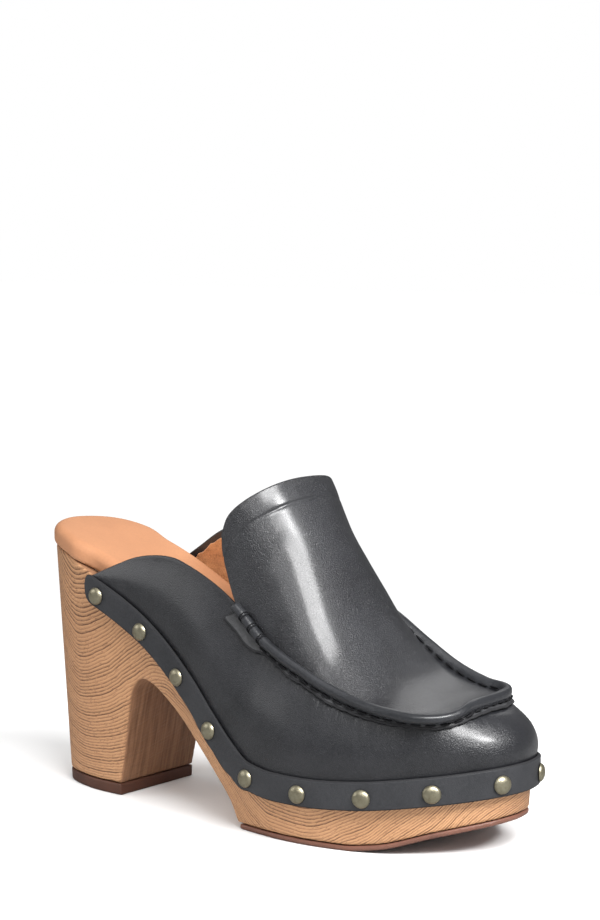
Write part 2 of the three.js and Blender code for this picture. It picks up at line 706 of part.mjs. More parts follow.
// ---- nails that hold the heel lift ---------------------------------------
const heelMiddle = 32 * gradeX;
const liftNailSpots = [[-11, 0], [9, -12], [9, 12]];
liftNailSpots.forEach(([x, y], k) => {
  const low = heelLiftThick - 3;
  const at = new THREE.Matrix4().makeRotationX(Math.PI / 2);
  const cylinder = (radius, from, length) => {
    const body = new THREE.CylinderGeometry(radius, radius, length, 10).applyMatrix4(at);
    return solid(body.translate(heelMiddle + x * gradeX, y * gradeY, from + length / 2));
  };
  addPiece(`lift_nail_${k + 1}`, cylinder(liftNailRadius, low, liftNailLength), 'steel');
  const hole = cylinder(liftNailRadius + gap, low - gap, liftNailLength + 2 * gap);
  heelLift = heelLift.subtract(hole);
  woodSole = woodSole.subtract(hole);
});
addPiece('heel_lift', heelLift, 'liftRubber');
addPiece('wood_sole', woodSole, 'wood');

clog.position.x = -heelMiddle;

export default clog;
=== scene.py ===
import math
import bmesh
import bpy
import numpy as np
import openvdb
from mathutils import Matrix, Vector


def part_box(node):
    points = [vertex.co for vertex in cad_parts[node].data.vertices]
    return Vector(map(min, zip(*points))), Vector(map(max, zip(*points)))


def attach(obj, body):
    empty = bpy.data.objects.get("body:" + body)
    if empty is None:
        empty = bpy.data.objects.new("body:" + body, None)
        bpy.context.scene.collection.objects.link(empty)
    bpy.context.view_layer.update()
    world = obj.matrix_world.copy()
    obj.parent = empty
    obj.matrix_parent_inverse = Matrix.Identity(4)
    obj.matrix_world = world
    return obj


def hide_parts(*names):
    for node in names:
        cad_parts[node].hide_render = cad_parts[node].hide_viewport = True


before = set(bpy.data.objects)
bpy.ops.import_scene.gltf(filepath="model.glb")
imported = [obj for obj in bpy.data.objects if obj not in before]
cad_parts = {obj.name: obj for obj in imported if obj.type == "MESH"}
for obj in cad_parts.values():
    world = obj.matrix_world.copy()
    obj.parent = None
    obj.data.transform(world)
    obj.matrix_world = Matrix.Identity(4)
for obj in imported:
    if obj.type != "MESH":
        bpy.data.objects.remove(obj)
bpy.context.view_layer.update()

# Clog for the right foot. Shapes are drawn in millimetres from the back of the
# heel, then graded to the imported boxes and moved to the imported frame.


# ---- lines and small maths ----
def smoothThrough(pairs):
    # smooth function through listed pairs, without overshoot
    xs, ys = np.array(pairs, float).T
    step = np.diff(ys) / np.diff(xs)
    slope = np.r_[step[0], np.zeros(len(xs) - 2), step[-1]]
    before, after = step[:-1], step[1:]
    same = before * after > 0
    slope[1:-1][same] = 2 * before[same] * after[same] / (before + after)[same]

    def value(x):
        x = np.clip(x, xs[0], xs[-1])
        i = np.clip(np.searchsorted(xs, x) - 1, 0, len(xs) - 2)
        span = xs[i + 1] - xs[i]
        t = (x - xs[i]) / span
        rise = ys[i + 1] - ys[i]
        a, b = slope[i] * span - rise, rise - slope[i + 1] * span
        return (1 - t) * ys[i] + t * ys[i + 1] + t * (1 - t) * (a * (1 - t) + b * t)
    return value


def smoothStep(x, low, high):
    t = np.clip((x - low) / (high - low), 0, 1)
    return t * t * (3 - 2 * t)


def smoothLine(points, closed=False, perSpan=60):
    # dense line through the points, centripetal Catmull-Rom
    pts = np.array(points, float)
    count = len(pts)
    if closed:
        padded = np.vstack([pts[-1:], pts, pts[:2]])
    else:
        padded = np.vstack([2 * pts[0] - pts[1], pts, 2 * pts[-1] - pts[-2]])
    t = (np.arange(perSpan) / perSpan)[:, None]
    line = []
    for i in range(count if closed else count - 1):
        p0, p1, p2, p3 = padded[i:i + 4]
        d0, d1, d2 = (np.linalg.norm(b - a) ** 0.5 for a, b in ((p0, p1), (p1, p2), (p2, p3)))
        m1 = ((p1 - p0) / d0 - (p2 - p0) / (d0 + d1) + (p2 - p1) / d1) * d1
        m2 = ((p2 - p1) / d1 - (p3 - p1) / (d1 + d2) + (p3 - p2) / d2) * d1
        c2, c3 = -3 * p1 + 3 * p2 - 2 * m1 - m2, 2 * p1 - 2 * p2 + m1 + m2
        line.append(p1 + m1 * t + c2 * t ** 2 + c3 * t ** 3)
    line.append(pts[:1] if closed else pts[-1:])
    return np.vstack(line)


def readLine(line, share):
    # point of a dense line at a share of its keys
    at = np.clip(share, 0, 1) * (len(line) - 1)
    steps = np.arange(len(line))
    return np.stack([np.interp(at, steps, line[:, k]) for k in range(3)], -1)


def lengthsAlong(line):
    return np.r_[0, np.cumsum(np.linalg.norm(np.diff(line, axis=0), axis=1))]


def evenLine(line, count):
    # the line again, with its points evenly spaced
    along = lengthsAlong(line)
    at = np.linspace(0, along[-1], count)
    return np.stack([np.interp(at, along, line[:, k]) for k in range(3)], -1)


def unit(v):
    return v / np.maximum(np.linalg.norm(v, axis=-1, keepdims=True), 1e-9)


def bezier(a, b, c, d, t):
    return a * (1 - t) ** 3 + 3 * b * t * (1 - t) ** 2 + 3 * c * t * t * (1 - t) + d * t ** 3


def waver(at, pitch, seed):
    # gentle seeded wandering between -1 and 1 along a length
    rng = np.random.default_rng(seed)
    knots = rng.uniform(-1, 1, 400)
    x = np.abs(at) / pitch
    i = np.floor(x).astype(int) % 398
    t = x - np.floor(x)
    t = t * t * (3 - 2 * t)
    return knots[i] * (1 - t) + knots[i + 1] * t


# ---- the last, sole line and outline shared by every piece ----
last = {
    "outline": [
        (1.5, 0), (9, -19), (33, -30.5), (80, -33.5), (124, -41), (165, -46), (200, -39.5),
        (228.5, -24.5), (242, -9.8), (245.5, 4.5), (240, 22.5), (230.2, 32.5), (207.8, 45),
        (175, 47.5), (130, 38), (85, 31), (37, 31), (10, 20)],
    "soleLine": [
        (0, 1.01, 0), (21, 0.963, 0), (42, 0.875, 0), (60, 0.781, 0), (82.5, 0.628, 0),
        (106.6, 0.404, 0), (120.4, 0.235, 0), (132, 0.103, 0), (142, 0.025, 0),
        (156, 0.002, 0), (171, 0, 0), (191, 0, 0.11), (218.6, 0, 0.5), (246, 0, 1)],
    "platform": 28, "heelRise": 80, "toeRise": 9.3, "heelMiddle": 32,
    "band": 1.5, "gap": 0.3, "leather": 1.2, "lining": 0.8,
}
heelShare = smoothThrough([(x, h) for x, h, _ in last["soleLine"]])
toeShare = smoothThrough([(x, t) for x, _, t in last["soleLine"]])


def soleEdge(x):
    return last["platform"] + last["heelRise"] * heelShare(x) + last["toeRise"] * toeShare(x)


def slopeFactor(x):
    return np.sqrt(1 + (soleEdge(x + 0.5) - soleEdge(x - 0.5)) ** 2)


outlineSteps = 4000
outline = evenLine(smoothLine([(x, y, 0) for x, y in last["outline"]], closed=True), outlineSteps + 1)
outlineAlong = unit(np.roll(outline[:-1], -1, 0) - np.roll(outline[:-1], 1, 0))
outlineAlong = np.vstack([outlineAlong, outlineAlong[:1]])
woodInset = last["band"] + last["leather"] + 2 * last["gap"]
wallFootInset = last["band"] + last["gap"]

bandLow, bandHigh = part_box("nailed_band")
woodLow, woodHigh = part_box("wood_sole")
gradeX = bandHigh.x * 1000 / (outline[:, 0].max() - last["heelMiddle"])
gradeY = (bandHigh.y - bandLow.y) * 1000 / (outline[:, 1].max() - outline[:, 1].min())
gradeZ = woodHigh.z * 1000 / float(soleEdge(np.array(outline[:, 0].min() + woodInset)))
print("grades", round(gradeX, 4), round(gradeY, 4), round(gradeZ, 4))


def toFrame(points):
    p = np.asarray(points, float).reshape(-1, 3)
    return (p - (last["heelMiddle"], 0, 0)) * (gradeX, gradeY, gradeZ) / 1000


def outlinePoint(share, inset):
    share = np.asarray(share) % 1
    p, along = readLine(outline, share), unit(readLine(outlineAlong, share))
    inward = np.stack([-along[..., 1], along[..., 0], np.zeros_like(along[..., 0])], -1)
    return p + inward * np.asarray(inset)[..., None]


# ---- mesh making ----
def addObject(name, data):
    made = bpy.data.objects.new(name, data)
    bpy.context.scene.collection.objects.link(made)
    return made


def addMark(mesh, name, values, kind="FLOAT"):
    # one value, or one direction, for each point of a mesh
    key = "vector" if kind == "FLOAT_VECTOR" else "value"
    mesh.attributes.new(name, kind, "POINT").data.foreach_set(key, np.asarray(values, np.float32).ravel())


def smoothFaces(mesh):
    mesh.polygons.foreach_set("use_smooth", np.ones(len(mesh.polygons), bool))


def tubeFaces(index):
    # quads between neighbouring loops of a tube
    a, b = index[:-1], index[1:]
    return np.stack([a, b, np.roll(b, -1, 1), np.roll(a, -1, 1)], -1).reshape(-1, 4)


def closedTube(count, around):
    # faces of a tube with a lid at each end
    index = np.arange(count * around).reshape(-1, around)
    return tubeFaces(index).tolist() + [index[0].tolist(), index[-1][::-1].tolist()]


def addMesh(name, points, faces, uv=None, marks=None):
    mesh = bpy.data.meshes.new(name)
    mesh.from_pydata(toFrame(points).tolist(), [], [list(map(int, f)) for f in faces])
    for key, values in (marks or {}).items():
        addMark(mesh, key, values)
    if uv is not None:
        layer = mesh.uv_layers.new(name="UVMap")
        corner = np.zeros(len(mesh.loops), int)
        mesh.loops.foreach_get("vertex_index", corner)
        layer.data.foreach_set("uv", np.asarray(uv, np.float32)[corner].ravel())
    smoothFaces(mesh)
    mesh.validate()
    mesh.update()
    return addObject(name, mesh)


def closePiece(piece):
    # merge seams and make every face point outwards
    shape = bmesh.new()
    shape.from_mesh(piece.data)
    bmesh.ops.remove_doubles(shape, verts=shape.verts, dist=2e-6)
    bmesh.ops.dissolve_degenerate(shape, edges=shape.edges, dist=1e-7)
    bmesh.ops.recalc_face_normals(shape, faces=shape.faces)
    shape.to_mesh(piece.data)
    shape.free()
    smoothFaces(piece.data)
    piece.data.update()
    return piece


def settle(piece, slot, *nodes):
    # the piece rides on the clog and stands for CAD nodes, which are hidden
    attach(piece, "root")
    if nodes:
        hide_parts(*nodes)
    return piece


def gridNormals(grid):
    along = np.gradient(grid, axis=0)
    across = np.gradient(grid, axis=1)
    return unit(np.cross(along, across))


def roundedSheet(name, grid, normals, under, over, rimSteps=4, marks=None):
    # leather between two depths of a grid, with round rims on all four sides.
    # grid is rows by columns; UV is metres along and across
    rows, columns = grid.shape[:2]
    under = np.broadcast_to(under, (rows, columns))
    over = np.broadcast_to(over, (rows, columns))
    middle = grid + normals * ((under + over) / 2)[..., None]
    half = np.maximum((over - under) / 2, 0.02)
    firstOut = unit(middle[:, 0] - middle[:, 1])
    lastOut = unit(middle[:, -1] - middle[:, -2])
    angles = np.linspace(0.5 * np.pi, -0.5 * np.pi, rimSteps + 2)[1:-1]
    stack, rimStack, rowKeys = [], [], []

    def addLoops(rowIds, rimmed=0, push=0, share=1):
        # over, round the last side, back under and round the first side
        m = middle[rowIds] + push
        n, h = normals[rowIds], half[rowIds] * share
        parts = []
        for face, at, out, turns in ((m + n * h[..., None], -1, lastOut, angles),
                                     ((m - n * h[..., None])[:, ::-1], 0, firstOut, -angles)):
            parts.append(face)
            for angle in turns:
                away = out[rowIds] * math.cos(angle) + n[:, at] * math.sin(angle)
                parts.append((m[:, at] + away * h[:, at, None])[:, None])
        stack.append(np.concatenate(parts, 1))
        flat, rim = np.full(columns, rimmed), np.ones(rimSteps)
        rimStack.append(np.tile(np.r_[flat, rim, flat, rim], (len(rowIds), 1)))
        rowKeys.extend(rowIds)

    def addEnd(row, inner, turns):
        out = unit(middle[row] - middle[inner])
        for angle in turns:
            push = out * (half[row] * math.sin(angle))[..., None]
            addLoops([row], 1, push, max(math.cos(angle), 1e-3))

    turns = np.linspace(0, 0.5 * np.pi, rimSteps + 1)[1:]
    addEnd(0, 1, turns[::-1])
    addLoops(np.arange(rows))
    addEnd(rows - 1, rows - 2, turns)
    points, rims = np.concatenate(stack), np.concatenate(rimStack)
    total, around = points.shape[:2]
    index = np.arange(total * around).reshape(total, around)
    caps = []
    for ring, flip in ((index[0], False), (index[-1], True)):
        # the collapsed ends are zipped shut column by column
        for j in range(columns - 1):
            k = around - rimSteps - 1 - j
            quad = [ring[j], ring[j + 1], ring[k - 1], ring[k]]
            caps.append(quad[::-1] if flip else quad)
    # which grid column each place of the loop belongs to
    col = np.r_[np.arange(columns), [columns - 1] * rimSteps, np.arange(columns)[::-1], [0] * rimSteps]
    rowKeys = np.array(rowKeys)
    alongLength = lengthsAlong(middle[:, columns // 2])
    acrossLength = np.cumsum(np.concatenate([
        np.zeros((rows, 1)), np.linalg.norm(np.diff(middle, axis=1), axis=2)], 1), 1)
    acrossLength = acrossLength[:, -1:] - acrossLength
    uv = np.stack([
        np.broadcast_to(alongLength[rowKeys][:, None], (total, around)),
        acrossLength[rowKeys][:, col]], -1).reshape(-1, 2) / 1000
    held = {"rim": rims.ravel()}
    for key, values in (marks or {}).items():
        values = np.broadcast_to(values, (rows, columns))[rowKeys][:, col].ravel()
        held[key] = np.maximum(held[key], values) if key in held else values
    faces = np.concatenate([tubeFaces(index), np.array(caps)])
    return closePiece(addMesh(name, points.reshape(-1, 3), faces, uv, held))


def sweptRod(name, lines, radius, sides):
    # round rods along one or more lines, with domed ends; UV runs along and round
    endTaper = 0.6   # length of the domed end, in radii
    points, faces, uv = [], [], []
    for line in lines:
        n = len(line)
        along = unit(np.gradient(line, axis=0))
        side = unit(np.cross(along, np.broadcast_to((0.13, 0.21, 0.97), along.shape)))
        up = np.cross(side, along)
        run = lengthsAlong(line)
        fromEnd = np.clip(np.minimum(run, run[-1] - run) / (radius * endTaper), 0, 1)
        size = np.sqrt(np.clip(1 - (1 - fromEnd) ** 2, 0.01, 1)) * radius
        angle = np.linspace(0, 2 * np.pi, sides, endpoint=False)
        ring = (line[:, None] + side[:, None] * (size[:, None] * np.cos(angle))[..., None]
                + up[:, None] * (size[:, None] * np.sin(angle))[..., None])
        base = sum(len(p) for p in points)
        points.append(ring.reshape(-1, 3))
        index = base + np.arange(n * sides).reshape(n, sides)
        faces += tubeFaces(index)[:, [0, 3, 2, 1]].tolist()
        faces += [index[0][::-1].tolist(), index[-1].tolist()]
        uv.append(np.stack([np.repeat(run, sides), np.tile(angle / 1000, n)], -1) / (1000, 1))
    return closePiece(addMesh(name, np.vstack(points), faces, np.vstack(uv)))


def fromField(name, field, low, voxel):
    # surface where a field of signed distances, in millimetres, is zero
    grid = openvdb.FloatGrid(float(field.max()))
    grid.copyFromArray(np.ascontiguousarray(field, np.float32))
    points, quads = grid.convertToQuads(isovalue=0)
    return closePiece(addMesh(name, points * voxel + np.array(low), quads))


def axes(low, high, voxel):
    return [np.arange(a, b, voxel) for a, b in zip(low, high)]


def nearest(px, py, line, batch=4000):
    # distance from each place to the points of a dense line
    flat = np.stack([px.ravel(), py.ravel()], -1)
    out = np.empty(len(flat))
    for i in range(0, len(flat), batch):
        part = flat[i:i + batch, None] - line[None]
        out[i:i + batch] = (part ** 2).sum(-1).min(1)
    return np.sqrt(out).reshape(px.shape)


def inPolygon(px, py, line):
    inside = np.zeros(px.shape, bool)
    x0, y0 = line[:, 0], line[:, 1]
    x1, y1 = np.roll(x0, -1), np.roll(y0, -1)
    for a, b, c, d in zip(x0, y0, x1, y1):
        if b != d:
            inside ^= ((b > py) != (d > py)) & (px < (c - a) * (py - b) / (d - b) + a)
    return inside


def signedPolygon(px, py, line):
    # negative inside
    away = nearest(px, py, line)
    return np.where(inPolygon(px, py, line[::4]), -away, away)


def roundedBoth(a, b, r):
    # intersection of two fields with a rounded edge
    return (np.minimum(np.maximum(a + r, b + r), 0)
            + np.hypot(np.maximum(a + r, 0), np.maximum(b + r, 0)) - r)


# ---- shader helpers ----
def link(tree, node, key, value):
    if isinstance(value, bpy.types.NodeSocket):
        tree.links.new(value, node.inputs[key])
    elif value is not None:
        node.inputs[key].default_value = value


def node(tree, kind, inputs=None, **settings):
    made = tree.nodes.new(kind)
    for key, value in settings.items():
        setattr(made, key, value)
    for key, value in (inputs or {}).items():
        link(tree, made, key, value)
    return made


def maths(tree, kind, a, b=None, c=None, clamp=False):
    made = tree.nodes.new("ShaderNodeMath")
    made.operation, made.use_clamp = kind, clamp
    for i, value in enumerate((a, b, c)):
        link(tree, made, i, value)
    return made.outputs[0]


def weighed(tree, a, shareA, b, shareB):
    return maths(tree, "ADD", maths(tree, "MULTIPLY", a, shareA), maths(tree, "MULTIPLY", b, shareB))


def noise(tree, vector, scale, detail=3.0, rough=0.5, distort=0.0):
    return node(tree, "ShaderNodeTexNoise", {
        "Vector": vector, "Scale": scale, "Detail": detail, "Roughness": rough,
        "Distortion": distort}).outputs["Fac"]


def ramp(tree, value, *stops):
    made = node(tree, "ShaderNodeValToRGB", {"Fac": value})
    for element, (at, tone) in zip(made.color_ramp.elements, stops):
        element.position, element.color = at, (*tone, 1)
    return made.outputs["Color"]


def blendTone(tree, share, a, b):
    made = tree.nodes.new("ShaderNodeMix")
    made.data_type = "RGBA"
    link(tree, made, 0, share)
    link(tree, made, 6, (*a, 1) if isinstance(a, tuple) else a)
    link(tree, made, 7, (*b, 1) if isinstance(b, tuple) else b)
    return made.outputs[2]


def mapRange(tree, value, low, high, toLow=0.0, toHigh=1.0):
    return node(tree, "ShaderNodeMapRange", {
        "Value": value, "From Min": low, "From Max": high, "To Min": toLow,
        "To Max": toHigh}).outputs["Result"]


def stretched(tree, vector, scale):
    return node(tree, "ShaderNodeMapping", {"Vector": vector, "Scale": scale}).outputs["Vector"]


def newGroup(name, inputs, outputs):
    tree = bpy.data.node_groups.new(name, "ShaderNodeTree")
    for label, kind, value in inputs:
        socket = tree.interface.new_socket(label, in_out="INPUT", socket_type=kind)
        if value is not None:
            socket.default_value = value
    for label, kind in outputs:
        tree.interface.new_socket(label, in_out="OUTPUT", socket_type=kind)
    return tree, tree.nodes.new("NodeGroupInput"), tree.nodes.new("NodeGroupOutput")


def placeGroup(tree, group, inputs):
    made = tree.nodes.new("ShaderNodeGroup")
    made.node_tree = group
    for key, value in inputs.items():
        link(tree, made, key, value)
    return made


def newMaterial(name):
    material = bpy.data.materials.new(name)
    material.use_nodes = True
    tree = material.node_tree
    tree.nodes.clear()
    shader = tree.nodes.new("ShaderNodeBsdfPrincipled")
    out = tree.nodes.new("ShaderNodeOutputMaterial")
    tree.links.new(shader.outputs[0], out.inputs[0])
    where = tree.nodes.new("ShaderNodeTexCoord")
    return material, tree, shader, where


def mark(tree, name):
    return node(tree, "ShaderNodeAttribute", attribute_name=name).outputs["Fac"]


def bumpFrom(tree, height, depth, strength=1.0, normal=None):
    return node(tree, "ShaderNodeBump", {
        "Height": height, "Distance": depth, "Strength": strength, "Normal": normal}).outputs["Normal"]


# ---- shared effects ----
def leatherGrainGroup():
    tree, given, out = newGroup("leatherGrain", [
        ("Vector", "NodeSocketVector", None), ("Pore Scale", "NodeSocketFloat", 1500.0),
        ("Crease Scale", "NodeSocketFloat", 130.0), ("Crease Share", "NodeSocketFloat", 0.4),
    ], [("Height", "NodeSocketFloat"), ("Mottle", "NodeSocketFloat")])
    g = given.outputs
    wobble = noise(tree, g["Vector"], 420.0, 2.0)
    pores = node(tree, "ShaderNodeTexVoronoi", {"Vector": g["Vector"], "Scale": g["Pore Scale"]},
                 feature="DISTANCE_TO_EDGE").outputs["Distance"]
    pores = mapRange(tree, pores, 0.0, 0.22)
    creases = noise(tree, g["Vector"], g["Crease Scale"], 5.0, 0.62, 0.6)
    mixed = maths(tree, "MULTIPLY_ADD", creases, g["Crease Share"], maths(tree, "MULTIPLY", pores, 0.22))
    speckle = noise(tree, g["Vector"], 1700.0, 2.0, 0.6)
    mixed = maths(tree, "MULTIPLY_ADD", speckle, 1.1, mixed)
    tree.links.new(maths(tree, "MULTIPLY_ADD", wobble, 0.25, mixed), out.inputs["Height"])
    fine = noise(tree, g["Vector"], 900.0, 3.0, 0.6)
    broad = noise(tree, g["Vector"], 70.0, 4.0, 0.6)
    tree.links.new(weighed(tree, fine, 0.55, broad, 0.45), out.inputs["Mottle"])
    return tree


def toneDriftGroup():
    # slow change of tone that handling and dye leave on every finish
    tree, given, out = newGroup("toneDrift", [
        ("Vector", "NodeSocketVector", None), ("Scale", "NodeSocketFloat", 25.0),
        ("Contrast", "NodeSocketFloat", 0.5),
    ], [("Drift", "NodeSocketFloat")])
    g = given.outputs
    base = noise(tree, g["Vector"], g["Scale"], 3.0, 0.55, 0.3)
    centred = maths(tree, "SUBTRACT", base, 0.5)
    spread = maths(tree, "MULTIPLY", centred, g["Contrast"])
    tree.links.new(maths(tree, "ADD", spread, 0.5, clamp=True), out.inputs["Drift"])
    return tree


def rawEdgeGroup():
    # mask of a cut edge, made ragged by a fine noise
    tree, given, out = newGroup("rawEdge", [
        ("Rim", "NodeSocketFloat", 0.0), ("Vector", "NodeSocketVector", None),
        ("Raggedness", "NodeSocketFloat", 0.4),
    ], [("Mask", "NodeSocketFloat")])
    g = given.outputs
    fuzz = maths(tree, "SUBTRACT", noise(tree, g["Vector"], 1400.0, 3.0, 0.6), 0.5)
    ragged = maths(tree, "MULTIPLY_ADD", fuzz, g["Raggedness"], g["Rim"])
    tree.links.new(mapRange(tree, ragged, 0.35, 0.65), out.inputs["Mask"])
    return tree


groups = {"grain": leatherGrainGroup(), "drift": toneDriftGroup(), "edge": rawEdgeGroup()}


# ---- finishes ----
def drifting(tree, spot, scale, contrast=0.5):
    return placeGroup(tree, groups["drift"], {
        "Vector": spot, "Scale": scale, "Contrast": contrast}).outputs["Drift"]


def surface(tree, shader, colour, rough, normal):
    for key, value in (("Base Color", colour), ("Roughness", rough), ("Normal", normal)):
        link(tree, shader, key, value)


def leatherFinish(name, dark, light, rough, edgeTone, poreDepth=0.00006, coat=0.0, creases=0.4,
                  wrinkle=0.0, poreScale=1500.0):
    material, tree, shader, where = newMaterial(name)
    spot = where.outputs["Object"]
    grain = placeGroup(tree, groups["grain"], {
        "Vector": spot, "Pore Scale": poreScale, "Crease Share": creases}).outputs
    tone = weighed(tree, grain["Mottle"], 0.6, drifting(tree, spot, 22.0, 0.9), 0.4)
    colour = blendTone(tree, mapRange(tree, tone, 0.36, 0.64), dark, light)
    edge = placeGroup(tree, groups["edge"], {"Rim": mark(tree, "rim"), "Vector": spot}).outputs["Mask"]
    gloss = mapRange(tree, tone, 0.35, 0.65, *rough)
    gloss = maths(tree, "MAXIMUM", gloss, maths(tree, "MULTIPLY", edge, 0.8))
    normal = bumpFrom(tree, grain["Height"], poreDepth)
    if wrinkle:
        # fine drawn-in folds below the sewn margin
        run = node(tree, "ShaderNodeUVMap", uv_map="UVMap").outputs["UV"]
        folds = noise(tree, stretched(tree, run, (330.0, 34.0, 1.0)), 1.0, 2.0, 0.5)
        depth = maths(tree, "MULTIPLY", folds, mark(tree, "drawn"))
        normal = bumpFrom(tree, depth, wrinkle, 1.0, normal)
    surface(tree, shader, blendTone(tree, edge, colour, edgeTone), gloss, normal)
    shader.inputs["Coat Weight"].default_value = coat
    shader.inputs["Coat Roughness"].default_value = 0.22
    shader.inputs["Specular IOR Level"].default_value = 0.55
    return material


def woodFinish(name):
    material, tree, shader, where = newMaterial(name)
    spot = where.outputs["Object"]
    rings, along = mark(tree, "ring"), mark(tree, "along")
    side = node(tree, "ShaderNodeSeparateXYZ", {0: spot}).outputs
    phase = maths(tree, "FRACT", rings)
    # late wood darkens slowly, then stops short
    late = maths(tree, "MULTIPLY", maths(tree, "POWER", phase, 2.0), mapRange(tree, phase, 1.0, 0.9))
    yearly = node(tree, "ShaderNodeTexWhiteNoise", {"W": maths(tree, "FLOOR", rings)},
                  noise_dimensions="1D").outputs["Value"]
    late = maths(tree, "MULTIPLY", late, maths(tree, "MULTIPLY_ADD", yearly, 0.95, 0.45))
    # pores and fibres run along the rings
    ringSpace = node(tree, "ShaderNodeCombineXYZ", {
        "X": maths(tree, "MULTIPLY", along, 0.22), "Y": maths(tree, "MULTIPLY", rings, 5.0),
        "Z": maths(tree, "MULTIPLY", side["Y"], 150.0)}).outputs[0]
    fibre = noise(tree, ringSpace, 1.0, 3.0, 0.6)
    broken = noise(tree, stretched(tree, ringSpace, (2.2, 0.5, 1.0)), 1.0, 3.0, 0.65)
    late = maths(tree, "MULTIPLY", late, mapRange(tree, broken, 0.30, 0.55, 0.35, 1.1))
    pores = noise(tree, stretched(tree, ringSpace, (4.0, 0.42, 4.0)), 1.0, 1.0)
    pores = mapRange(tree, pores, 0.62, 0.72)
    drift = drifting(tree, spot, 18.0, 1.0)
    base = ramp(tree, drift, (0.2, (0.41, 0.216, 0.104)), (0.8, (0.525, 0.292, 0.149)))
    base = blendTone(tree, mapRange(tree, fibre, 0.3, 0.7, 0.0, 0.45), base, (0.36, 0.175, 0.082))
    base = blendTone(tree, maths(tree, "MULTIPLY", late, 1.35, clamp=True), base, (0.125, 0.056, 0.027))
    base = blendTone(tree, maths(tree, "MULTIPLY", pores, 0.5), base, (0.14, 0.062, 0.030))
    # sawn faces inside the arch and across the heel's front show upright streaks; their tone is also painted
    # darker as painted shade on these faces turned toward the toe
    facing = node(tree, "ShaderNodeNewGeometry").outputs["Normal"]
    face = node(tree, "ShaderNodeSeparateXYZ", {0: facing}).outputs
    front = mapRange(tree, maths(tree, "ABSOLUTE", face["Y"]), 0.75, 0.35)
    under = maths(tree, "MULTIPLY", front, mapRange(tree, side["X"], 0.110, 0.090), clamp=True)
    under = maths(tree, "MULTIPLY", under, mapRange(tree, face["X"], -0.1, 0.25))
    streaks = noise(tree, stretched(tree, spot, (90.0, 620.0, 28.0)), 1.0, 4.0, 0.65)
    # streak tones of the sawn faces, darkened for painted shade
    sawnAndShaded = ramp(tree, streaks, (0.3, (0.125, 0.060, 0.030)), (0.62, (0.27, 0.138, 0.074)))
    sunk = weighed(tree, late, 0.9, pores, 0.7)
    height = maths(tree, "SUBTRACT", maths(tree, "MULTIPLY", fibre, 0.25), sunk)
    surface(tree, shader, blendTone(tree, under, base, sawnAndShaded), mapRange(tree, late, 0.0, 0.6, 0.62, 0.5),
            bumpFrom(tree, height, 0.00016, 0.8))
    shader.inputs["Specular IOR Level"].default_value = 0.35
    return material


def suedeFinish(name, dark, light):
    material, tree, shader, where = newMaterial(name)
    spot = where.outputs["Object"]
    nap = noise(tree, spot, 1300.0, 4.0, 0.7)
    brushed = noise(tree, stretched(tree, spot, (160.0, 260.0, 420.0)), 1.0, 3.0, 0.6)
    tone = weighed(tree, nap, 0.5, brushed, 0.35)
    tone = maths(tree, "MULTIPLY_ADD", drifting(tree, spot, 60.0, 1.0), 0.15, tone)
    surface(tree, shader, blendTone(tree, mapRange(tree, tone, 0.36, 0.62), dark, light),
            mapRange(tree, nap, 0.2, 0.8, 0.85, 1.0), bumpFrom(tree, tone, 0.00035))
    shader.inputs["Sheen Weight"].default_value = 0.3
    shader.inputs["Sheen Roughness"].default_value = 0.5
    shader.inputs["Specular IOR Level"].default_value = 0.2
    return material


def rubberFinish(name, dark, light):
    material, tree, shader, where = newMaterial(name)
    spot = where.outputs["Object"]
    speck = noise(tree, spot, 2200.0, 2.0, 0.6)
    colour = blendTone(tree, drifting(tree, spot, 90.0, 1.2), dark, light)
    colour = blendTone(tree, mapRange(tree, speck, 0.55, 0.8, 0.0, 0.25), colour, (0.02, 0.012, 0.008))
    surface(tree, shader, colour, mapRange(tree, speck, 0.2, 0.8, 0.38, 0.56), bumpFrom(tree, speck, 0.00005))
    return material


def brassFinish(name):
    material, tree, shader, where = newMaterial(name)
    spot = where.outputs["Object"]
    tarnish = noise(tree, spot, 700.0, 4.0, 0.6)
    # the rolled lip and shank are painted near-black as painted contact shade where the head meets the band
    seat = mark(tree, "rim")
    colour = blendTone(tree, drifting(tree, spot, 240.0, 1.6), (0.30, 0.27, 0.185), (0.46, 0.43, 0.315))
    stain = mapRange(tree, tarnish, 0.50, 0.75, 0.0, 0.5)
    colour = blendTone(tree, stain, colour, (0.16, 0.135, 0.085))
    colour = blendTone(tree, seat, colour, (0.045, 0.038, 0.026))
    link(tree, shader, "Metallic", mapRange(tree, seat, 0.0, 1.0, 0.92, 0.5))
    surface(tree, shader, colour, mapRange(tree, tarnish, 0.3, 0.7, 0.30, 0.48),
            bumpFrom(tree, noise(tree, spot, 420.0, 2.0), 0.00012))
    return material


def threadFinish(name):
    material, tree, shader, where = newMaterial(name)
    run = node(tree, "ShaderNodeUVMap", uv_map="UVMap").outputs["UV"]
    xy = node(tree, "ShaderNodeSeparateXYZ", {0: run}).outputs
    # two plies twisted together
    twist = weighed(tree, xy["X"], 5200.0, xy["Y"], 2000.0)
    ply = maths(tree, "MULTIPLY_ADD", maths(tree, "SINE", twist), 0.5, 0.5)
    worn = maths(tree, "MULTIPLY", drifting(tree, where.outputs["Object"], 400.0), 0.2)
    colour = blendTone(tree, ply, (0.003, 0.003, 0.004), (0.010, 0.010, 0.012))
    surface(tree, shader, blendTone(tree, worn, colour, (0.02, 0.02, 0.022)),
            mapRange(tree, ply, 0.0, 1.0, 0.85, 0.65), bumpFrom(tree, ply, 0.00015))
    shader.inputs["Specular IOR Level"].default_value = 0.2
    return material


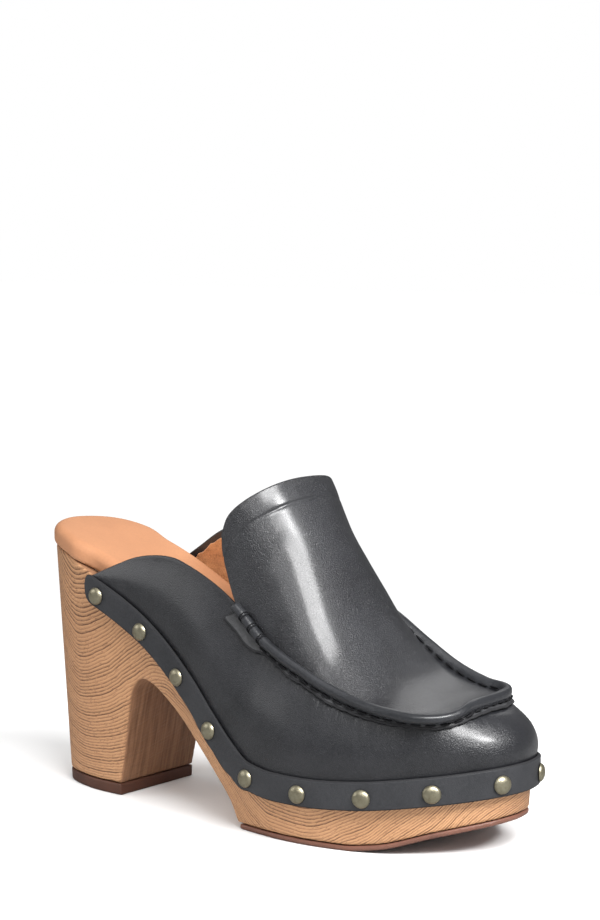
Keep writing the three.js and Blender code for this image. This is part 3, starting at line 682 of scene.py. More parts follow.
def foamFinish(name, dark, light, pore):
    material, tree, shader, where = newMaterial(name)
    spot = where.outputs["Object"]
    cells = node(tree, "ShaderNodeTexVoronoi", {"Vector": spot, "Scale": pore}).outputs["Distance"]
    shade = weighed(tree, cells, 0.6, drifting(tree, spot, 80.0), 0.4)
    surface(tree, shader, blendTone(tree, shade, dark, light), mapRange(tree, cells, 0.0, 0.6, 0.95, 0.8),
            bumpFrom(tree, cells, 0.0003))
    return material


def steelFinish(name):
    material, tree, shader, where = newMaterial(name)
    drawn = noise(tree, stretched(tree, where.outputs["Object"], (900.0, 900.0, 60.0)), 1.0, 3.0)
    surface(tree, shader, blendTone(tree, drawn, (0.42, 0.43, 0.44), (0.62, 0.62, 0.63)),
            mapRange(tree, drawn, 0.3, 0.7, 0.28, 0.45), bumpFrom(tree, drawn, 0.00005))
    shader.inputs["Metallic"].default_value = 1.0
    return material


darkEdge = (0.010, 0.010, 0.012)
finishes = {
    "wall": leatherFinish("greyLeatherWall", (0.007, 0.0075, 0.0092), (0.020, 0.0205, 0.0238), (0.28, 0.42),
                          darkEdge, 0.00013, 0.45, wrinkle=0.0006),
    "apron": leatherFinish("greyLeatherBurnished", (0.006, 0.006, 0.008), (0.027, 0.028, 0.032), (0.25, 0.44),
                           darkEdge, 0.00032, 0.8, 0.5),
    "bead": leatherFinish("greyLeatherBead", (0.010, 0.011, 0.013), (0.026, 0.027, 0.031), (0.30, 0.42),
                          darkEdge, 0.00007, 0.3, 0.5),
    # the margin is the wall's grey leather, painted lighter as painted light on the top of the lapped lip
    "margin": leatherFinish("greyLeatherMargin", (0.026, 0.0265, 0.029), (0.064, 0.065, 0.069), (0.40, 0.56),
                            darkEdge, 0.00010, 0.1, 0.7),
    "band": leatherFinish("greyLeatherBand", (0.015, 0.016, 0.019), (0.031, 0.032, 0.036), (0.44, 0.56),
                          darkEdge, 0.00008, 0.0, 0.5),
    "footbed": leatherFinish("tanFootbedLeather", (0.36, 0.160, 0.074), (0.435, 0.200, 0.094), (0.62, 0.76),
                             (0.46, 0.17, 0.08), 0.00004, 0.0, 0.35, poreScale=1900.0),
    "wood": woodFinish("solidWood"),
    "suede": suedeFinish("tanSuede", (0.30, 0.105, 0.030), (0.60, 0.26, 0.095)),
    "lift": rubberFinish("liftRubber", (0.050, 0.021, 0.014), (0.11, 0.040, 0.022)),
    "outsole": rubberFinish("outsoleRubber", (0.10, 0.042, 0.028), (0.19, 0.080, 0.052)),
    "brass": brassFinish("antiqueBrass"),
    "thread": threadFinish("waxedThread"),
    "foam": foamFinish("footbedFoam", (0.62, 0.55, 0.42), (0.85, 0.80, 0.68), 1600.0),
    "board": foamFinish("stiffenerBoard", (0.30, 0.25, 0.18), (0.48, 0.42, 0.32), 900.0),
    "steel": steelFinish("nailSteel"),
}
print("finishes made")


def dress(piece, finish):
    piece.data.materials.clear()
    piece.data.materials.append(finishes[finish])
    return piece


# ---- wooden sole, heel lift and outsole ----
sole = {
    "draft": 0.05, "liftThick": 5.5, "outsoleThick": 2.5, "breast": 55,
    "arch": [(58.5, 0.2), (62, 0.36), (65, 0.46), (70, 0.5), (76, 0.488), (85, 0.44), (94, 0.38),
             (106.4, 0.277), (119, 0.166), (126, 0.098)],
    "outsoleBack": 131, "toeSpring": 14,
    "spring": [(188, 0), (201, 0.13), (220, 0.55), (245, 1.02), (255, 1.22)],
    "voxel": 0.9, "fieldLow": (0.5, -49, 1.5), "fieldHigh": (247, 50.5, 112),
    "edge": 0.9, "archEdge": 2.2, "archStarts": (52, 60), "archEnds": (134, 120), "edgeGrows": (3, 9),
    "liftVoxel": 0.5, "treadVoxel": 0.6, "treadEdge": 0.7, "treadEndEdge": 0.6,
}
springCurve = smoothThrough(sole["spring"])


def treadHeight(x):
    return np.where(x < sole["spring"][0][0], 0, sole["toeSpring"] * springCurve(x))


def planField(px, py):
    # signed distance to the outline in plan, negative inside
    return signedPolygon(px, py, outline[:-1:2, :2])


grain = {
    # shape of the growth lines: how high a line runs over its lowest place
    "rise": [(-5, 52), (1, 38), (8, 19), (17, 5), (26, 0), (42, 5), (58, 15), (72, 21), (84, 17), (100, 5),
             (120, -13), (132, -24), (142, -30), (160, -32), (180, -25), (200, -11), (225, 8), (250, 28)],
    "top": 115, "firstPitch": 2.7, "lastPitch": 1.15, "pitchDepth": 110, "sideShift": 0.22, "sideFall": 0.10,
    "wander": [   # amount, share of x, share of z, shift, pitch, seed
        (1.5, 1.0, 0.5, 200, 21, 3), (0.5, 0.8, -0.4, 300, 7, 5), (0.12, 1.3, 0.9, 100, 2.6, 8)],
}


def woodGrain(x, y, z):
    # count of growth lines passed, and the way along them
    rise = smoothThrough(grain["rise"])
    calm = 0.16 + 0.84 * smoothStep(z, -5, 78)
    calm = calm + (1 - calm) * smoothStep(x, 66, 92)
    xs = x + grain["sideShift"] * y
    deep = grain["top"] - z + calm * rise(xs) + grain["sideFall"] * y
    for amount, shareX, shareZ, shift, pitch, seed in grain["wander"]:
        deep = deep + amount * waver(xs * shareX + z * shareZ + shift, pitch, seed)
    upper, lower = 1 / grain["firstPitch"], 1 / grain["lastPitch"]
    ring = deep * upper + 0.5 * deep ** 2 * (lower - upper) / grain["pitchDepth"]
    return ring, x - 0.5 * z + 0.3 * y


def makeWoodSole():
    voxel, low = sole["voxel"], sole["fieldLow"]
    x, y, z = axes(low, sole["fieldHigh"], voxel)
    plan = planField(*np.meshgrid(x, y, indexing="ij"))
    seat = last["platform"] + last["heelRise"]
    arch = [(sole["breast"], 0, sole["liftThick"])]
    arch += [(a, 0, share * seat) for a, share in sole["arch"]]
    arch += [(sole["outsoleBack"], 0, sole["outsoleThick"])]
    archLine = smoothLine(arch, perSpan=30)[:, [0, 2]]
    front = np.linspace(sole["outsoleBack"] + 2, 255, 160)
    under = np.vstack([[(-10, sole["liftThick"])], archLine,
                       np.stack([front, treadHeight(front) + sole["outsoleThick"]], -1)])
    top = np.linspace(255, -10, 400)
    side = np.vstack([under, np.stack([top, soleEdge(top)], -1)])
    px, pz = np.meshgrid(x, z, indexing="ij")
    dense = evenLine(np.c_[side, np.zeros(len(side))], 2400)[:, :2]
    away = nearest(px, pz, dense)
    profile = np.where(inPolygon(px, pz, dense[::2]), -away, away)
    lean = sole["draft"] * (soleEdge(px) - pz)
    wall = plan[:, :, None] + woodInset + lean[:, None, :]
    inArch = smoothStep(px, *sole["archStarts"]) * smoothStep(px, *sole["archEnds"])
    clear = smoothStep(pz, *sole["edgeGrows"]) * smoothStep(soleEdge(px) - pz, *sole["edgeGrows"])
    edge = sole["edge"] + (sole["archEdge"] - sole["edge"]) * inArch * clear
    field = roundedBoth(wall, np.broadcast_to(profile[:, None, :], wall.shape), edge[:, None, :])
    wood = fromField("woodSole", field, low, voxel)
    at = np.zeros(3 * len(wood.data.vertices))
    wood.data.vertices.foreach_get("co", at)
    at = at.reshape(-1, 3) * 1000 / (gradeX, gradeY, gradeZ) + (last["heelMiddle"], 0, 0)
    for key, values in zip(("ring", "along"), woodGrain(*at.T)):
        addMark(wood.data, key, values)
    return settle(dress(wood, "wood"), "wood", "wood_sole")


def makeTread(name, finish, slot, cadNode, xRange, lowZ, highZ, voxel):
    low = (xRange[0] - 2, -48, -1.2)
    high = (xRange[1] + 2, 49, float(np.max(highZ(np.linspace(*xRange, 80)))) + 2)
    x, y, z = axes(low, high, voxel)
    gx, gy = np.meshgrid(x, y, indexing="ij")
    plan = planField(gx, gy)
    px, pz = np.meshgrid(x, z, indexing="ij")
    ends = np.maximum(xRange[0] - px, px - xRange[1])
    profile = np.maximum(lowZ(px) - pz, pz - highZ(px))
    profile = roundedBoth(profile, ends, sole["treadEndEdge"])
    lean = sole["draft"] * (soleEdge(px) - pz)
    wall = plan[:, :, None] + (woodInset + lean)[:, None, :]
    field = roundedBoth(wall, np.broadcast_to(profile[:, None, :], wall.shape), sole["treadEdge"])
    return settle(dress(fromField(name, field, low, voxel), finish), slot, cadNode)


makeWoodSole()
makeTread("heelLift", "lift", "lift_rubber", "heel_lift", (-5, sole["breast"]),
          lambda x: 0 * x, lambda x: 0 * x + sole["liftThick"] - last["gap"], sole["liftVoxel"])
makeTread("outsole", "outsole", "outsole_rubber", "forefoot_outsole", (sole["outsoleBack"] + 1, 262),
          treadHeight, lambda x: treadHeight(x) + sole["outsoleThick"] - last["gap"], sole["treadVoxel"])
print("sole made")

# ---- footbed ----
footbed = {
    "heelThick": 9.2, "frontThick": 5, "coverFrom": 29, "coverTo": 44, "upperInset": 6.8,
    "bullnose": 4.2, "lowerEdge": 1.8, "bulge": 0.9, "dish": 0.7, "dishFades": (95, 55), "dishRim": (1, 24),
    "archRise": 2.0, "archMiddle": 92, "archSpread": 26, "archSide": (2, 22),
    "voxel": 0.7, "fieldLow": (0, -47, 27), "fieldHigh": (243, 48, 122),
}


def makeFootbed():
    voxel, low = footbed["voxel"], footbed["fieldLow"]
    x, y, z = axes(low, footbed["fieldHigh"], voxel)
    gx, gy = np.meshgrid(x, y, indexing="ij")
    plan = planField(gx, gy)
    # past the heel the cover lies inside the upper
    covered = smoothStep(gx, footbed["coverFrom"], footbed["coverTo"])
    heelInset = woodInset - footbed["bulge"]
    wall = plan + heelInset + (footbed["upperInset"] - heelInset) * covered
    heel, front = footbed["heelThick"], footbed["frontThick"]
    thick = smoothThrough([(-10, heel), (60, heel), (150, front), (255, front)])(gx)
    # the heel is dished and the inner side rises a little under the arch
    dish = footbed["dish"] * smoothStep(-wall, *footbed["dishRim"]) * smoothStep(gx, *footbed["dishFades"])
    fromArch = (gx - footbed["archMiddle"]) / footbed["archSpread"]
    arch = footbed["archRise"] * np.exp(-fromArch ** 2) * smoothStep(gy, *footbed["archSide"])
    slope = slopeFactor(gx)
    top = soleEdge(gx) + thick - dish + arch
    bottom = soleEdge(gx) + last["gap"]
    zz = z[None, None, :]
    upper = (zz - top[..., None]) / slope[..., None]
    lower = (bottom[..., None] - zz) / slope[..., None]
    nose = np.minimum(footbed["bullnose"], 0.45 * thick)[..., None]
    field = roundedBoth(np.broadcast_to(wall[..., None], upper.shape), upper, nose)
    field = roundedBoth(field, lower, footbed["lowerEdge"])
    piece = dress(fromField("footbedCover", field, low, voxel), "footbed")
    settle(piece, "footbed_leather", "footbed_cover")


makeFootbed()
print("footbed made")

# ---- wall of the upper ----
wall = {
    "top": [
        (45, -30.3, 0.3), (56, -28.5, 9.7), (67, -28, 19), (78, -28, 27), (89, -28.3, 34),
        (99, -29, 38.6), (109, -29.7, 43), (118, -30.2, 47.5), (127.5, -30.2, 50),
        (138.5, -31, 48.8), (149.5, -31.8, 44.6), (160.5, -32.2, 39.6), (172.5, -32.5, 34.5),
        (189, -32.2, 29.2), (207.5, -31.2, 26), (218.5, -28.6, 24.2), (224.8, -19.3, 23.1),
        (226.8, 0, 22.7), (223.8, 18.6, 22.8), (217, 28, 24.2), (206.5, 30.5, 26.4),
        (192.5, 31, 32.5), (180, 30.6, 40), (168, 30.2, 48), (158, 30, 54.5), (147, 29.8, 60),
        (136, 29.6, 62.5), (122, 29, 62), (108, 28.5, 57), (96, 28, 50), (84, 28, 40),
        (70, 28, 27), (56, 28.7, 11.5), (45, 30, 0.3)],
    "outerEnd": 8, "outerCorner": 15, "innerCorner": 19, "innerEnd": 26,
    "rows": 460, "columns": 34, "swell": 2.6, "toeFullness": 1.0, "skirt": 7.4,
    "stiffener": 0.9, "turnIn": 3.2, "liningMargin": 0.9,
}


def onSole(points):
    # heights over the sole's edge become heights over the floor
    p = np.array(points, float)
    p[:, 2] += soleEdge(p[:, 0])
    return p


wallTopKeys = onSole(wall["top"])
wallTopLine = smoothLine(wallTopKeys)
keyShares = np.array([((outline[:-1, :2] - p[:2]) ** 2).sum(1).argmin() for p in wallTopKeys]) / outlineSteps
wallTopShare = smoothThrough(list(zip(keyShares, np.linspace(0, 1, len(keyShares)))))


def wallRibs(shares, columns):
    # outer face of the wall: one line for each share, foot to top edge
    top = readLine(wallTopLine, wallTopShare(shares))
    foot = outlinePoint(shares, wallFootInset)
    outward = foot - outlinePoint(shares, wallFootInset + 1)
    foot[:, 2] = np.minimum(soleEdge(foot[:, 0]), top[:, 2])
    rise = top[:, 2] - foot[:, 2]
    lean = (top - foot) * (1, 1, 0)
    steep = (rise / (rise + np.linalg.norm(lean, axis=1) + 0.1)) ** 4
    toe = np.exp(-((shares - 0.5) / 0.10) ** 2) * wall["toeFullness"]
    swell = (wall["swell"] + toe) * smoothStep(rise, 3, 25)
    lower = foot + outward * swell[:, None]
    lower[:, 2] += rise * 0.5
    upper = top - lean * (0.6 * (1 - 0.5 * steep))[:, None] + outward * (toe * 0.8)[:, None]
    upper[:, 2] -= rise * 0.5 * steep - 0.5 * toe
    t = np.linspace(0, 1, columns)[None, :, None]
    return bezier(foot[:, None], lower[:, None], upper[:, None], top[:, None], t)


def lengthsDown(grid):
    # way from each place of a grid to the end of its row
    steps = np.linalg.norm(np.diff(grid, axis=1), axis=2)
    return np.concatenate([np.cumsum(steps[:, ::-1], 1)[:, ::-1], np.zeros((len(grid), 1))], 1)


def makeWall():
    shares = np.linspace(keyShares[0], keyShares[-1], wall["rows"])
    ribs = wallRibs(shares, wall["columns"])
    foot = ribs[:, :1]
    skirt = np.concatenate([foot - (0, 0, wall["skirt"]), foot - (0, 0, 3.5), foot - (0, 0, 0.5)], 1)
    grid = np.concatenate([skirt, ribs[:, 1:]], 1)
    normals = gridNormals(grid)
    fromTop = lengthsDown(grid)
    outer, inner = keyShares[wall["outerEnd"]], keyShares[wall["innerEnd"]]
    sewn = smoothStep(shares, outer - 0.004, outer + 0.03) * smoothStep(shares, inner + 0.004, inner - 0.03)
    drawn = smoothStep(fromTop, 13, 4.5) * sewn[:, None]
    piece = roundedSheet("vampWall", grid, normals, -last["leather"], 0.0, marks={"drawn": drawn})
    settle(dress(piece, "wall"), "grey_leather", "vamp_wall")
    # lining, cut back where the leather is turned over the inner wing
    stiffened = smoothStep(grid[:, :1, 0], 174, 183)
    depth = last["leather"] + last["gap"] + (wall["stiffener"] + last["gap"]) * stiffened
    ragged = 0.9 * waver(np.arange(len(shares)) * 1.0, 2.6, 5)
    turned = np.where(shares > inner, wall["turnIn"] + ragged, wall["liningMargin"])
    level = np.linspace(0, 1, wall["columns"] - 3)
    cut = []
    for line, down, margin in zip(grid[:, 2:], fromTop[:, 2:], turned):
        at = np.clip(down[0] + (margin - down[0]) * level, margin, max(down[0], margin + 0.1))
        cut.append(np.stack([np.interp(-at, -down, line[:, k]) for k in range(3)], -1))
    cut = np.array(cut)[3:-3]
    piece = roundedSheet("vampLining", cut, gridNormals(cut), -(depth[3:-3] + last["lining"]), -depth[3:-3])
    settle(dress(piece, "suede"), "suede_lining", "vamp_lining")


makeWall()
print("wall made")

# ---- apron and tongue ----
apron = {
    "outerTongue": [(122.5, -30.4, 57), (118.5, -29.8, 68.5), (121.5, -28.8, 81), (130.5, -26, 97)],
    "innerTongue": [(128, 29.3, 71), (124, 28.8, 79), (127, 27.8, 90), (133, 25, 101)],
    "crest": [
        (226.8, 0, 22.7), (213, 0, 26.6), (195, 0, 33.6), (179, 0, 45.6), (168, 0, 59.5),
        (160, 0, 73), (153.5, 0, 84), (148, 0, 93), (143.5, 0, 99.5), (140, 0, 104.5),
        (137.7, 0, 107.4), (136, 0, 109)],
    "outerFullness": (0.64, 0.66), "innerFullness": (0.80, 0.92), "rows": 260, "columns": 84,
    "seamFrom": 0.012, "topFrom": 0.84,
    "outerTop": [(0, 0.865), (0.05, 0.904), (0.1, 0.948), (0.15, 0.973), (0.24, 0.992), (0.4, 1), (1, 1)],
    "innerTop": [(0, 0.86), (0.1, 0.92), (0.3, 0.965), (0.55, 0.988), (0.75, 1), (1, 1)],
    "hemWidth": 8.6, "hemRise": 0.14, "hemCrease": 0.30, "hemCreaseWidth": 0.8,
}
outerSeam = wall["top"][wall["outerEnd"]:wall["outerCorner"] + 1][::-1]
innerSeam = wall["top"][wall["innerCorner"]:wall["innerEnd"] + 1]
apronOuterLine = smoothLine(onSole(outerSeam + apron["outerTongue"]))
apronInnerLine = smoothLine(onSole(innerSeam + apron["innerTongue"]))
apronCrestLine = smoothLine(onSole(apron["crest"]))


def apronHalf(edge, crest, fullness, t):
    climb, across = (crest - edge) * (1, 0, 1), (crest - edge) * (0, 1, 0)
    slack = 0.25 * np.exp(-np.linalg.norm(climb, axis=1) / 18)
    lower = edge + climb * 0.6 + across * slack[:, None]
    upper = crest - across * fullness[:, None]
    return bezier(edge[:, None], lower[:, None], upper[:, None], crest[:, None], t)


outerTop, innerTop = smoothThrough(apron["outerTop"]), smoothThrough(apron["innerTop"])


def apronColumn(edgeLine, fullness, t, v):
    # above topFrom the tongue goes on with the shape it has there, along its crest
    past = v - apron["topFrom"]
    past = 0.5 * (past + np.sqrt(past ** 2 + 0.03 ** 2))
    base = v - past
    crest = readLine(apronCrestLine, base)
    full = fullness[0] + (fullness[1] - fullness[0]) * smoothStep(base, 0.6, 0.84)
    point = apronHalf(readLine(edgeLine, base), crest, full, np.array([[[t]]]))[:, 0]
    return point + readLine(apronCrestLine, v) - crest


def apronGrid(rows, columns):
    # each column runs from the toe seam to its own place on the rounded top edge
    share, low = np.linspace(0, 1, rows), apron["seamFrom"]
    halves = []
    for line, top, fullness in ((apronOuterLine, outerTop, apron["outerFullness"]),
                                (apronInnerLine, innerTop, apron["innerFullness"])):
        halves.append(np.stack([apronColumn(line, fullness, t, low + (float(top(t)) - low) * share)
                                for t in np.linspace(0, 1, columns)], 1))
    grid = np.concatenate([halves[0], halves[1][:, ::-1][:, 1:]], 1)
    # the crest is a meeting of two curves, so it is eased across
    for _ in range(6):
        soft = 0.5 * grid[:, 1:-1] + 0.25 * (grid[:, :-2] + grid[:, 2:])
        near = np.exp(-((np.arange(1, grid.shape[1] - 1) - columns + 1) / 12.0) ** 2)[None, :, None]
        grid[:, 1:-1] += (soft - grid[:, 1:-1]) * near
    normals = -gridNormals(grid)
    normals[:, :2], normals[:, -2:] = normals[:, 2:3], normals[:, -3:-2]
    return grid, normals


def makeApron():
    grid, normals = apronGrid(apron["rows"], apron["columns"])
    fromTop = lengthsDown(grid.swapaxes(0, 1)).T
    hem = apron["hemRise"] * smoothStep(fromTop, apron["hemWidth"] + 0.4, apron["hemWidth"] - 0.6)
    past = (fromTop - apron["hemWidth"] - 0.5) / apron["hemCreaseWidth"]
    crease = apron["hemCrease"] * np.exp(-past ** 2)
    faint = smoothStep(np.arange(grid.shape[1]), 1.5 * apron["columns"], 0.7 * apron["columns"])
    hem, crease = hem * (0.3 + 0.7 * faint), crease * (0.35 + 0.65 * faint)
    over = last["gap"] + last["leather"] + hem - crease
    piece = roundedSheet("apronTongue", grid, normals, last["gap"], over, 5)
    settle(dress(piece, "apron"), "grey_leather", "apron_tongue")
    first, trim = int(0.13 * apron["rows"]), 5
    part = (slice(first, -trim), slice(trim, -trim))
    piece = roundedSheet("tongueLining", grid[part], normals[part], -last["lining"], 0.0)
    settle(dress(piece, "suede"), "suede_lining", "tongue_lining")


makeApron()
print("apron made")

# ---- moccasin seam: bead, lapped margin, stitches and wraps ----
seam = {
    "rows": 700, "reach": 16, "beadHalfWidth": 2.2, "beadHalfHeight": 2.75, "squareness": 3.0, "pucker": 0.12,
    "beadStart": -3.0, "marginWidth": 4.0, "marginWaver": 0.45,
    "tabWidth": 8.4, "tabLength": 17, "tabSlant": 0.95,
    "stitchPitch": 6.0, "stitchLength": 4.9, "threadRadius": 0.5,
    "wraps": [4.2, 10.4, 16.8], "wrapRadius": 0.33, "wrapSpacing": 1.15, "wrapTurn": 0.68,
    "outerStart": 20, "innerStop": 14, "ridgeNarrowing": 0.20,
}


def seamFrame():
    # the wall's ribs, spaced evenly along the seam and a little past both ends
    ends = [keyShares[wall["outerEnd"]], keyShares[wall["innerEnd"]]]
    shares = np.linspace(ends[0] - 0.035, ends[1] + 0.035, 4000)
    run = lengthsAlong(readLine(wallTopLine, wallTopShare(shares)))
    start, stop = np.interp(ends, shares, run)
    even = np.linspace(start - seam["reach"], stop + seam["reach"], seam["rows"])
    return even - start, stop - start, wallRibs(np.interp(even, run, shares), 90)


seamRun, seamLength, seamRibs = seamFrame()
seamPoint, seamUp = seamRibs[:, -1], gridNormals(seamRibs)[:, -1]
for _ in range(40):   # even out the direction along the seam
    seamUp[1:-1] = unit(seamUp[1:-1] * 0.5 + (seamUp[:-2] + seamUp[2:]) * 0.25)
seamAlong = unit(np.gradient(seamPoint, axis=0))
seamAcross = unit(np.cross(seamAlong, seamUp))
if ((seamPoint - seamPoint.mean(0)) * seamAcross).sum() < 0:
    seamAcross = -seamAcross
seamFromEnd = np.minimum(seamRun, seamLength - seamRun)
ribDown = lengthsDown(seamRibs)


def onWall(run, down):
    # place on the wall at a run along the seam and a way down from its edge
    at = np.interp(run, seamRun, np.arange(len(seamRun)))
    i = np.minimum(at.astype(int), len(seamRun) - 2)
    found = []
    for row in (i, i + 1):
        found.append(np.array([[np.interp(-d, -ribDown[r], seamRibs[r, :, k]) for k in range(3)]
                               for r, d in zip(row, down)]))
    share = (at - i)[:, None]
    return found[0] * (1 - share) + found[1] * share


def atStitch(run):
    # 1 between stitches, 0 at the middle of each
    phase = (run / seam["stitchPitch"]) % 1
    return np.abs(phase * 2 - 1) ** 3


def beadMiddle(rows):
    return seamPoint[rows] + seamUp[rows] * (last["gap"] + seam["beadHalfHeight"] - 0.1)


def beadSection(across, up):
    # the ridge is a squarish round, narrower at its top than at its foot
    across, up = (np.sign(v) * np.abs(v) ** (2 / seam["squareness"]) for v in (across, up))
    return across * (1 - seam["ridgeNarrowing"] * smoothStep(up, 0.0, 1.0)), up


def makeBead():
    steps = 44
    rows = np.where(seamFromEnd > seam["beadStart"])[0]
    run, fromEnd = seamRun[rows], seamFromEnd[rows]
    angle = np.linspace(0, 2 * np.pi, steps, endpoint=False)
    across, up = beadSection(np.cos(angle), np.sin(angle))
    size = np.sqrt(np.clip(1 - (1 - np.clip((fromEnd - seam["beadStart"]) / 1.6, 0, 1)) ** 2, 0.004, 1))
    low = smoothStep(-up, -0.5, 0.7)[None] * smoothStep(np.abs(across), 0.3, 1)[None]
    tight = 1 - seam["pucker"] * atStitch(run)[:, None] * low
    wrapped = sum(np.exp(-((fromEnd - at) / 0.9) ** 2) for at in seam["wraps"])
    tight = tight * (1 - 0.09 * wrapped[:, None]) * (1 + 0.03 * waver(run + 40, 9, 3)[:, None])
    wide, high = (seam[key] * size[:, None] * tight for key in ("beadHalfWidth", "beadHalfHeight"))
    points = (beadMiddle(rows)[:, None] + seamAcross[rows][:, None] * (across * wide)[..., None]
              + seamUp[rows][:, None] * (up * high)[..., None])
    uv = np.stack([np.repeat(run, steps), np.tile(angle, len(run))], -1) / 1000
    faces = closedTube(len(rows), steps)
    piece = closePiece(addMesh("seamBead", points.reshape(-1, 3), faces, uv))
    settle(dress(piece, "bead"), "grey_leather")


def makeMargin():
    columns = 14
    rows = np.where(seamFromEnd >= 0)[0]
    run, fromEnd = seamRun[rows], seamFromEnd[rows]
    tab = 1 - smoothStep(fromEnd, seam["tabLength"] - 6, seam["tabLength"] + 5)
    width = seam["marginWidth"] + (seam["tabWidth"] - seam["marginWidth"]) * tab
    width = width + (seam["marginWaver"] * waver(run, 7, 11) - 0.35 * atStitch(run)) * (1 - tab)
    corner = np.clip(fromEnd / 1.6, 0, 1)
    width = width - 1.5 * (1 - np.sqrt(1 - (1 - corner) ** 2))
    slant = seam["tabSlant"] * (1 - smoothStep(fromEnd, 2, 24)) * np.where(run < seamLength / 2, -1, 1)
    grid = np.empty((len(rows), columns, 3))
    for k, share in enumerate(np.linspace(1, 0, columns)):
        down = 0.4 + (width - 0.4) * share
        grid[:, k] = onWall(run + slant * down, down)
    outer = np.linspace(1, 0, columns)[None]
    curl = 0.30 * (0.5 + 0.5 * waver(run, 4, 17)) * (1 - tab)
    lift = curl[:, None] * outer ** 2 - 0.35 * atStitch(run)[:, None] * np.exp(-((outer - 0.4) / 0.35) ** 2)
    under = last["gap"] * 0.4 + np.maximum(lift, -0.1)
    over = under + last["leather"] - 0.05 + np.minimum(lift, 0)
    rim = smoothStep(width[:, None] * outer, width[:, None] - 0.9, width[:, None] - 0.4)
    piece = roundedSheet("seamMargin", grid, gridNormals(grid), under, over, marks={"rim": rim})
    settle(dress(piece, "margin"), "grey_leather")


def threadPath(side, fromRun, toRun):
    # line of the stitches in the crease outside or inside the bead
    rows = np.where((seamRun > fromRun) & (seamRun < toRun))[0]
    reach = seam["beadHalfWidth"] + 0.45
    height = last["gap"] + last["leather"] + 0.62
    return seamPoint[rows] + seamAcross[rows] * (side * reach) + seamUp[rows] * height


def newRepeat(name, seed, **amounts):
    # empty node tree that takes a mesh, some amounts, a seed and a finish
    tree = bpy.data.node_groups.new(name, "GeometryNodeTree")
    inputs = [(label, "Float", value) for label, value in amounts.items()] + [("Seed", "Int", seed)]
    for label, kind, value in [("Geometry", "Geometry", None), *inputs, ("Finish", "Material", None)]:
        socket = tree.interface.new_socket(label, in_out="INPUT", socket_type="NodeSocket" + kind)
        if value is not None:
            socket.default_value = value
    tree.interface.new_socket("Geometry", in_out="OUTPUT", socket_type="NodeSocketGeometry")
    return tree, tree.nodes.new("NodeGroupInput").outputs


def endRepeat(tree, instances, finish):
    real = node(tree, "GeometryNodeRealizeInstances", {"Geometry": instances})
    smooth = node(tree, "GeometryNodeSetShadeSmooth", {"Geometry": real.outputs[0]})
    done = node(tree, "GeometryNodeSetMaterial", {"Geometry": smooth.outputs[0], "Material": finish})
    tree.links.new(done.outputs[0], tree.nodes.new("NodeGroupOutput").inputs[0])
    return tree


def stitchNodes():
    # stitches of thread spaced along a line, each a short rod with rounded ends
    tree, g = newRepeat("seamStitches", 4, Pitch=0.006, Length=0.005, Radius=0.0004, Unevenness=0.08)
    toCurve = node(tree, "GeometryNodeMeshToCurve", {"Mesh": g["Geometry"]})
    spaced = node(tree, "GeometryNodeCurveToPoints", {"Curve": toCurve.outputs[0], "Length": g["Pitch"]},
                  mode="LENGTH")
    rod = node(tree, "GeometryNodeMeshUVSphere", {"Segments": 8, "Rings": 7, "Radius": 1.0})
    halfLength = maths(tree, "MULTIPLY", g["Length"], 0.5)
    size = node(tree, "ShaderNodeCombineXYZ", {"X": g["Radius"], "Y": g["Radius"], "Z": halfLength})
    uneven = node(tree, "FunctionNodeRandomValue", data_type="FLOAT")
    tree.links.new(maths(tree, "SUBTRACT", 1.0, g["Unevenness"]), uneven.inputs[2])
    uneven.inputs[3].default_value = 1.05
    tree.links.new(g["Seed"], uneven.inputs["Seed"])
    scaled = node(tree, "ShaderNodeVectorMath", {0: size.outputs[0], "Scale": uneven.outputs[1]},
                  operation="SCALE")
    turn = node(tree, "FunctionNodeAlignRotationToVector", {"Vector": spaced.outputs["Tangent"]}, axis="Z")
    place = node(tree, "GeometryNodeInstanceOnPoints", {
        "Points": spaced.outputs["Points"], "Instance": rod.outputs[0], "Rotation": turn.outputs[0],
        "Scale": scaled.outputs[0]})
    return endRepeat(tree, place.outputs[0], g["Finish"])


def runNodes(name, source, tree, values):
    # runs a node tree on a source mesh and keeps the result as a plain mesh
    layer = source.modifiers.new("nodes", "NODES")
    layer.node_group = tree
    for item in tree.interface.items_tree:
        if item.item_type == "SOCKET" and item.in_out == "INPUT" and item.name in values:
            layer[item.identifier] = values[item.name]
    bpy.context.view_layer.update()
    graph = bpy.context.evaluated_depsgraph_get()
    mesh = bpy.data.meshes.new_from_object(source.evaluated_get(graph), depsgraph=graph)
    source.modifiers.remove(layer)
    bpy.data.objects.remove(source)
    mesh.name = name
    return addObject(name, mesh)


def lineMesh(name, line):
    mesh = bpy.data.meshes.new(name)
    mesh.from_pydata(toFrame(line).tolist(), [(i, i + 1) for i in range(len(line) - 1)], [])
    return addObject(name, mesh)


def makeStitches():
    tree = stitchNodes()
    for name, side, seed, low, high, stands in (
            ("outerStitches", 1, 4, seam["outerStart"], seamLength - seam["outerStart"], ["seam_thread"]),
            ("innerStitches", -1, 9, seamLength * 0.5, seamLength - seam["innerStop"], [])):
        line = evenLine(threadPath(side, low, high), 900)
        piece = runNodes(name, lineMesh(name + "Path", line), tree, {
            "Pitch": seam["stitchPitch"] / 1000, "Length": seam["stitchLength"] / 1000,
            "Radius": seam["threadRadius"] / 1000, "Unevenness": 0.06, "Seed": seed,
            "Finish": finishes["thread"]})
        settle(piece, "waxed_thread", *stands)


def seamRow(run):
    return int(np.argmin(np.abs(seamRun - run)))


